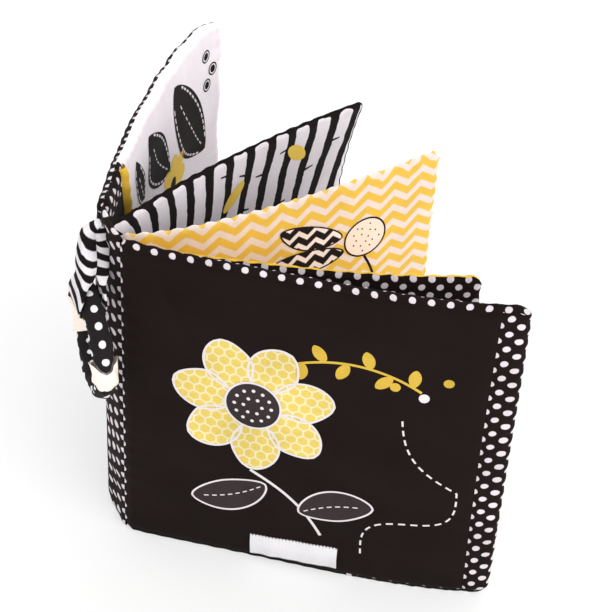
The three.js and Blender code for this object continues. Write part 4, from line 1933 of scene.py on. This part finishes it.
@dataclass
class StuffedRing:
    """The stuffed ring: four sleeves sewn end to end round a core."""

    radius: float = 21.5
    tube: float = 4.35
    along: float = -10.3
    outward: float = 12.4
    top: float = 133.2
    plane: float = 120.3
    lean: float = 3.0
    bend: float = 2.0
    bend_at: float = 255
    bend_over: float = 32
    stretch: float = 1.12
    plain_more: float = 0.9
    point_more: float = 1.4

    def frame(self) -> tuple[Array, Array, Array, Array]:
        """The ring's own axes.

        Returns:
            Its centre, its upward and level directions, and its axis.
        """
        lean = math.radians(self.lean)
        upright, side = np.array([0, 0, 1.0]), heading(self.plane + 90)
        up = math.cos(lean) * upright + math.sin(lean) * side
        axis = math.cos(lean) * side - math.sin(lean) * upright
        centre = self.along * heading(SPINE.along_heading) - self.radius * up
        centre = centre + self.outward * heading(SPINE.along_heading + 90) + self.top * upright
        return centre, up, heading(self.plane + 180), axis

    def point(self, degrees: Array, turn: Array, radius: Array) -> Array:
        """Places points on the ring's tube, which leans about its own plan line.

        Args:
            degrees: Angle round the ring from its top, over the side by the front cover.
            turn: Share of a turn round the tube, 0 on the ring's outer side.
            radius: Distance from the tube's middle.

        Returns:
            Points.
        """
        return self.place(degrees, radius * np.cos(TAU * turn), radius * np.sin(TAU * turn))

    def place(self, degrees: Array, out: Array, aside: Array) -> Array:
        """Places points by their angle round the ring and their distance from the tube's middle.

        The ring isn't quite flat: a bell at its upper back bends it towards the spine.

        Args:
            degrees: Angle round the ring from its top.
            out: Distance away from the ring's centre.
            aside: Distance along the ring's axis.

        Returns:
            Points.
        """
        centre, up, level, axis = self.frame()
        angle = np.radians(degrees)
        radial = np.cos(angle)[..., None] * up + np.sin(angle)[..., None] * level
        around = np.mod(np.asarray(degrees) - self.bend_at + 180, 360) - 180
        aside = aside - self.bend * bell(around, self.bend_over)
        return centre + (self.radius + out)[..., None] * radial + aside[..., None] * axis

    def sleeve(self, part: Sleeve) -> None:
        """Makes one sleeve: a tube sector with creases at its ends and slack along its inside.

        Its radius sums an exponential tuck and radiating sines at the ends, a sine of slack cloth
        on the inner half, and two slow sines of lumps.

        Args:
            part: The sleeve.
        """
        start, end = part.ends
        each_step, from_end = 1.2, 0.2
        shares = np.linspace(0, 1, int((end - start) / each_step))
        share, turn = np.meshgrid(shares, np.linspace(-0.5, 0.5, 57), indexing="ij")
        vee = np.abs(1 - 4 * np.abs(turn - np.round(turn)))
        first = start + from_end + part.vees[0] * vee
        last = end - from_end + part.vees[1] * vee
        degrees = first + (last - first) * share
        mm_each = self.radius * math.pi / 180
        to_end = np.minimum(degrees - first, last - degrees) * mm_each
        tuck = -0.7 * np.exp(-to_end / 0.8)
        crease = 0.28 * np.exp(-to_end / 5) * np.sin(TAU * 7 * turn + degrees / 5)
        slack = 0.3 * np.sin(degrees / 4.1) * (np.abs(turn) > 0.25)
        lump = 0.2 * np.sin(degrees / 9 + 4 * TAU * turn)
        lump = lump + 0.13 * np.sin(degrees / 5.3 - 2 * TAU * turn)
        radius = self.tube + 0.1 + tuck + crease + slack + lump
        if part.finish is CREAM:
            ear = (1 - vee) ** 3 * np.exp(-(degrees - first) * mm_each / 1.3)
            radius = radius + self.point_more * ear + self.plain_more
        along = degrees * mm_each * self.stretch + part.shift
        cloth = np.stack([along, turn * TAU * self.tube], -1)
        patch = Patch(self.point(degrees, turn, radius), cloth, True)
        dress(make_piece(part.name, [patch], part.finish), Body.RING, [part.node])

    def build(self) -> None:
        """Makes the four sleeves and the stuffing, a plain tube inside them."""
        for part in SLEEVES:
            self.sleeve(part)
        round_ring, round_tube, inside = np.linspace(0, 360, 121), np.linspace(-0.5, 0.5, 25), 1.2
        degrees, turn = np.meshgrid(round_ring, round_tube, indexing="ij")
        core = self.point(degrees, turn, np.full(degrees.shape, self.tube - inside))
        patch = Patch(core, np.stack([degrees, 30 * turn], -1), True)
        filling = make_piece("ring_stuffing", [patch], FILLING)
        dress(filling, Body.RING, ["ring_wadding"])


def closed_spline(places: Array, each: int) -> Array:
    """A closed curve through places: repeated weighted means of four neighbours.

    The weights go by knots that are spaced by the square roots of the places' distances.

    Args:
        places: Points (n, 2) that it passes through.
        each: Points between two places.

    Returns:
        Points (n * each + 1, 2), the last one at the first place.
    """
    count = len(places)
    dense = []
    for k in range(count):
        p = [places[(k + j - 1) % count] for j in range(4)]
        t = [0.0]
        for a, b in zip(p, p[1:]):
            t.append(t[-1] + float(np.hypot(*(b - a))) ** 0.5)
        u = np.linspace(t[1], t[2], each, endpoint=False)[:, None]
        a1, a2, a3 = (
            (t[j + 1] - u) / (t[j + 1] - t[j]) * p[j] + (u - t[j]) / (t[j + 1] - t[j]) * p[j + 1]
            for j in range(3)
        )
        b1 = (t[2] - u) / (t[2] - t[0]) * a1 + (u - t[0]) / (t[2] - t[0]) * a2
        b2 = (t[3] - u) / (t[3] - t[1]) * a2 + (u - t[1]) / (t[3] - t[1]) * a3
        dense.append((t[2] - u) / (t[2] - t[1]) * b1 + (u - t[1]) / (t[2] - t[1]) * b2)
    return np.concatenate([*dense, dense[0][:1]])


@dataclass
class HangingLoop:
    """The gathered striped band that holds the ring at the spine's top."""

    ring: StuffedRing
    seam_width: float = 9.0
    bulge_width: float = 13.0
    wrap_width: float = 17.5
    thickness: float = 1.4
    bulk: float = 7.4
    along: float = 3.0
    seam_outward: float = 1.75
    seam_top: float = 156.0
    pinch: float = 140.5
    pinch_over: float = 2.4
    clearance: float = 0.7
    pattern_shift: float = 40.0

    def hold(self) -> float:
        """Distance of the band's middle from the tube's middle."""
        return self.ring.tube + self.clearance + self.thickness / 2

    def route(self) -> tuple[Array, Array]:
        """The loop's closed midline in (outward, height), and its tangents.

        The curve is a closed spline through twelve places: it rises out of the seam, falls
        slantwise to the ring, passes under the tube and comes back inside.

        Returns:
            Points and unit tangents at even distances.
        """
        r = self.ring

        def around(degrees: float, share: float) -> tuple[float, float]:
            """A place round the tube, at a share of the hold's distance."""
            a, reach = math.radians(degrees), self.hold() * share
            return r.outward + reach * math.cos(a), r.top + reach * math.sin(a)

        places = np.array(
            [
                (self.seam_outward, self.seam_top),
                (self.seam_outward + 3.4, self.seam_top - 1.4),
                (self.seam_outward + 7.6, self.seam_top - 7.0),
                (self.seam_outward + 10.6, self.seam_top - 12.4),
                around(24, 1.06),
                around(-30, 1.0),
                around(-90, 1.0),
                around(-148, 1.0),
                around(165, 1.0),
                (self.seam_outward + 3.2, r.top + 9.6),
                (self.seam_outward, self.seam_top - 7),
                (self.seam_outward, self.seam_top - 3.5),
            ]
        )
        curve = closed_spline(places, 24)
        run = run_along(curve)
        even = np.linspace(0, run[-1], 241)
        points = np.stack([np.interp(even, run, curve[:, k]) for k in (0, 1)], 1)
        step = np.gradient(points, axis=0)
        return points, step / np.hypot(step[:, 0], step[:, 1])[:, None]

    def build(self) -> None:
        """Makes the band: a puffy gathered tube between its seam and the ring, flat at both.

        Its section is an ellipse. Its half thickness swells where the band is free, and sines
        across and along it add gathers, which are deepest at the pinch above the ring. Towards
        the ring its width bends round with the ring's own curve.
        """
        r = self.ring
        middle, tangent = self.route()
        turn = np.linspace(0, 1, 73)[None]
        x, z = middle[:, 0][:, None], middle[:, 1][:, None]
        drop = np.clip((self.seam_top - z) / (self.seam_top - r.top), 0, 1)
        above_hold = rising((z - r.top) / self.hold(), 0.55, 1.1)
        free = falling(z, self.seam_top + 0.6, 4.5) * above_hold
        outer = rising(x - r.outward, -4, 5)
        pinch = outer * bell(z - self.pinch, self.pinch_over)
        share = -np.cos(TAU * turn) / 2
        low = rising(drop, 0.5, 0.4)
        width = self.seam_width + (self.bulge_width - self.seam_width) * rising(drop, 0, 0.35)
        width = (width + (self.wrap_width - width) * low) * (1 - 0.2 * pinch)
        inside = falling(x, r.outward - 2, 4) * rising(z - r.top, 1, 6)
        aside = share * width * (1 - 0.4 * inside) + 3.0 * inside
        run = np.linspace(0, 1, len(middle))[:, None]
        half = 0.5 * (self.thickness + (self.bulk - self.thickness) * free) * (1 - 0.4 * pinch)
        round_off = np.sin(TAU * turn)
        puff = half * np.sign(round_off) * np.abs(round_off) ** 0.6
        folds = 0.6 * np.sin(TAU * 3 * share + 12 * run)
        folds = folds + 0.4 * np.sin(TAU * 5.5 * share - 20 * run)
        outside = np.clip(round_off, 0, 1) ** 0.7
        lift = puff + outside * (0.5 + 0.55 * free + 0.9 * pinch) * folds * rising(x, 2.2, 3)
        outward = x + tangent[:, 1][:, None] * lift
        height = z - tangent[:, 0][:, None] * lift
        along = self.along + (r.along - self.along) * rising(drop, 0, 0.9)
        spine_way = heading(SPINE.along_heading)
        across = spine_way * (1 - low[..., None]) + heading(r.plane) * low[..., None]
        straight = along[..., None] * spine_way + aside[..., None] * across
        straight = straight + outward[..., None] * heading(SPINE.along_heading + 90)
        straight = straight + height[..., None] * np.array([0, 0, 1.0])
        round_it = r.place(-np.degrees(aside / r.radius), height - r.top, outward - r.outward)
        points = straight + (round_it - straight) * low[..., None]
        length = float(np.hypot(*np.diff(middle, axis=0).T).sum())
        slant = 0.12 * aside - 0.02 * low * aside**2
        along_cloth, across_cloth = run * length + slant, aside + self.pattern_shift
        cloth = np.stack(np.broadcast_arrays(along_cloth, across_cloth), -1)
        piece = make_piece("striped_loop_cloth", [Patch(points, cloth)], LOOP_STRIPES)
        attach(piece, Body.LOOP.value)
        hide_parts("hanging_loop")


# Studio


@dataclass(frozen=True)
class Studio:
    """Camera, lamps, world and table."""

    target: tuple[float, float, float] = (83.54, -9.58, 141.6)
    azimuth: float = 9.1
    elevation: float = 38.37
    roll: float = 3.55
    distance: float = 717.3
    lens: float = 106.31
    daylight: float = 1.04
    table_white: float = 0.93
    table_glow: float = 0.5
    def camera(self) -> None:
        """Places the camera at the photograph's viewing angle."""
        a, e, r = (math.radians(v) for v in (self.azimuth, self.elevation, self.roll))
        back = np.array([math.sin(a) * math.cos(e), -math.cos(a) * math.cos(e), math.sin(e)])
        right = np.array([math.cos(a), math.sin(a), 0])
        top = np.cross(back, right)
        turned_right = right * math.cos(r) + top * math.sin(r)
        turned_top = -right * math.sin(r) + top * math.cos(r)
        place = (np.array(self.target) + self.distance * back) * MM
        data = bpy.data.cameras.new("photo_camera")
        data.lens = self.lens
        data.sensor_width = 36
        camera = bpy.data.objects.new("photo_camera", data)
        camera.matrix_world = placing(turned_right, turned_top, back, place)
        bpy.context.scene.collection.objects.link(camera)
        bpy.context.scene.camera = camera

    def lamp(self, name: str, place: Sequence[float], size: float, power: float) -> None:
        """Adds a square soft lamp that faces the book.

        Args:
            name: Its name.
            place: Its place in metres.
            size: Its side in metres.
            power: Its power in watts.
        """
        data = bpy.data.lights.new(name, "AREA")
        data.size = size
        data.energy = power
        lamp = bpy.data.objects.new(name, data)
        book_middle = np.array([0.06, 0.05, 0.08])
        back = np.array(place) - book_middle
        back = back / np.linalg.norm(back)
        right = np.cross([0, 0, 1.0], back)
        right = right / np.linalg.norm(right)
        lamp.matrix_world = placing(right, np.cross(back, right), back, np.array(place))
        bpy.context.scene.collection.objects.link(lamp)

    def world(self) -> None:
        """Sets a soft grey-white world that the camera sees as white."""
        world = bpy.data.worlds.new("studio")
        world.use_nodes = True
        world.node_tree.nodes.clear()
        g = Graph(world.node_tree)
        path = g.node("ShaderNodeLightPath")
        seen = g.math("MAXIMUM", path.outputs["Is Camera Ray"], path.outputs["Is Glossy Ray"])
        seen = g.math("MAXIMUM", seen, path.outputs["Is Transmission Ray"])
        light = g.node("ShaderNodeBackground")
        light.inputs[0].default_value = (1, 1, 1, 1)
        light.inputs[1].default_value = self.daylight
        white = g.node("ShaderNodeBackground")
        white.inputs[0].default_value = (1, 1, 1, 1)
        white.inputs[1].default_value = 1.0
        mix = g.node("ShaderNodeMixShader")
        g.put(mix.inputs[0], seen)
        g.put(mix.inputs[1], light.outputs[0])
        g.put(mix.inputs[2], white.outputs[0])
        output = g.node("ShaderNodeOutputWorld")
        g.put(output.inputs[0], mix.outputs[0])
        bpy.context.scene.world = world

    def table(self) -> None:
        """Lays a pale table, brightened for the camera so that only soft shadows show."""
        mesh = bpy.data.meshes.new("table")
        half, low = 3, -0.0002
        corners = [(-half, -half, low), (half, -half, low), (half, half, low), (-half, half, low)]
        mesh.from_pydata(corners, [], [(0, 1, 2, 3)])
        made = bpy.data.materials.new("table_white")
        made.use_nodes = True
        made.node_tree.nodes.clear()
        g = Graph(made.node_tree)
        diffuse = g.node("ShaderNodeBsdfDiffuse")
        diffuse.inputs[0].default_value = (*[self.table_white] * 3, 1)
        glow = g.node("ShaderNodeEmission")
        glow.inputs[1].default_value = 1.0
        path = g.node("ShaderNodeLightPath")
        mix = g.node("ShaderNodeMixShader")
        seen = g.math("MULTIPLY", path.outputs["Is Camera Ray"], self.table_glow)
        g.put(mix.inputs[0], seen)
        g.put(mix.inputs[1], diffuse.outputs[0])
        g.put(mix.inputs[2], glow.outputs[0])
        output = g.node("ShaderNodeOutputMaterial")
        g.put(output.inputs[0], mix.outputs[0])
        mesh.materials.append(made)
        table = bpy.data.objects.new("table", mesh)
        bpy.context.scene.collection.objects.link(table)

    def build(self) -> None:
        """Sets up the studio."""
        self.camera()
        self.world()
        self.table()
        self.lamp("key", (-0.55, -0.75, 1.15), 0.9, 1.5)
        self.lamp("fill", (1.05, -0.7, 0.75), 0.9, 7)
        self.lamp("back", (0.1, 0.9, 1.2), 0.9, 4)
        bpy.context.scene.view_settings.view_transform = "Standard"


def inner_leaves() -> tuple[InnerLeaf, ...]:
    """Lists the three inner leaves, from the front cover to the back cover.

    Returns:
        The leaves.
    """
    return (
        InnerLeaf(
            name="dot_leaf",
            body=Body.DOT_LEAF,
            station=-1,
            form=replace(PAGE, width=146),
            course=Course(root=6.7, middle=5.7, fore=15.4, root_turn=-10),
            front=BLACK_DOTS,
            back=YELLOW,
            rolls=Side.LEFT,
            roll=0.4,
            fore=None,
            relief=Relief(5, outline=0.2),
            dots_down=1.3,
        ),
        InnerLeaf(
            name="chevron_leaf",
            body=Body.SPINE,
            station=0,
            form=replace(PAGE, width=155),
            course=Course(root=34.2, middle=42.6, fore=45.8, root_turn=-22),
            front=CHEVRON,
            back=BLACK_DOTS,
            rolls=Side.RIGHT,
            roll=0.8,
            fore=0.8,
            relief=Relief(6, outline=0.5, outline_length=6.4),
            art=speckled_fruit,
        ),
        InnerLeaf(
            name="birch_leaf",
            body=Body.BIRCH_LEAF,
            station=1,
            form=replace(PAGE, sway=18),
            course=Course(root=65.6, middle=55.6, fore=45.6),
            front=BIRCH,
            back=BLACK,
            rolls=Side.LEFT,
            roll=0.7,
            fore=1.0,
            relief=Relief(8, outline=0.25),
            art=birch_twigs,
        ),
    )


def finish_inner_solids(nodes: dict[str, bpy.types.Object]) -> None:
    """Gives the wadding and film solids their own finishes.

    Args:
        nodes: The frame's solids by name.
    """
    for node, solid in nodes.items():
        if "wadding" in node or "film" in node:
            finish = FILM if "film" in node else FILLING
            solid.data.materials.clear()
            solid.data.materials.append(finish.material())


def main() -> None:
    """Builds the studio and every piece of the book."""
    logging.basicConfig(level=logging.INFO, format="%(message)s")
    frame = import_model()
    Studio().build()
    FrontCover().build()
    for leaf in inner_leaves():
        leaf.build()
    BackCover().build()
    ClothSpine().build()
    ring = StuffedRing()
    ring.build()
    HangingLoop(ring).build()
    finish_inner_solids(frame["nodes"])


if __name__ == "__main__":
    main()
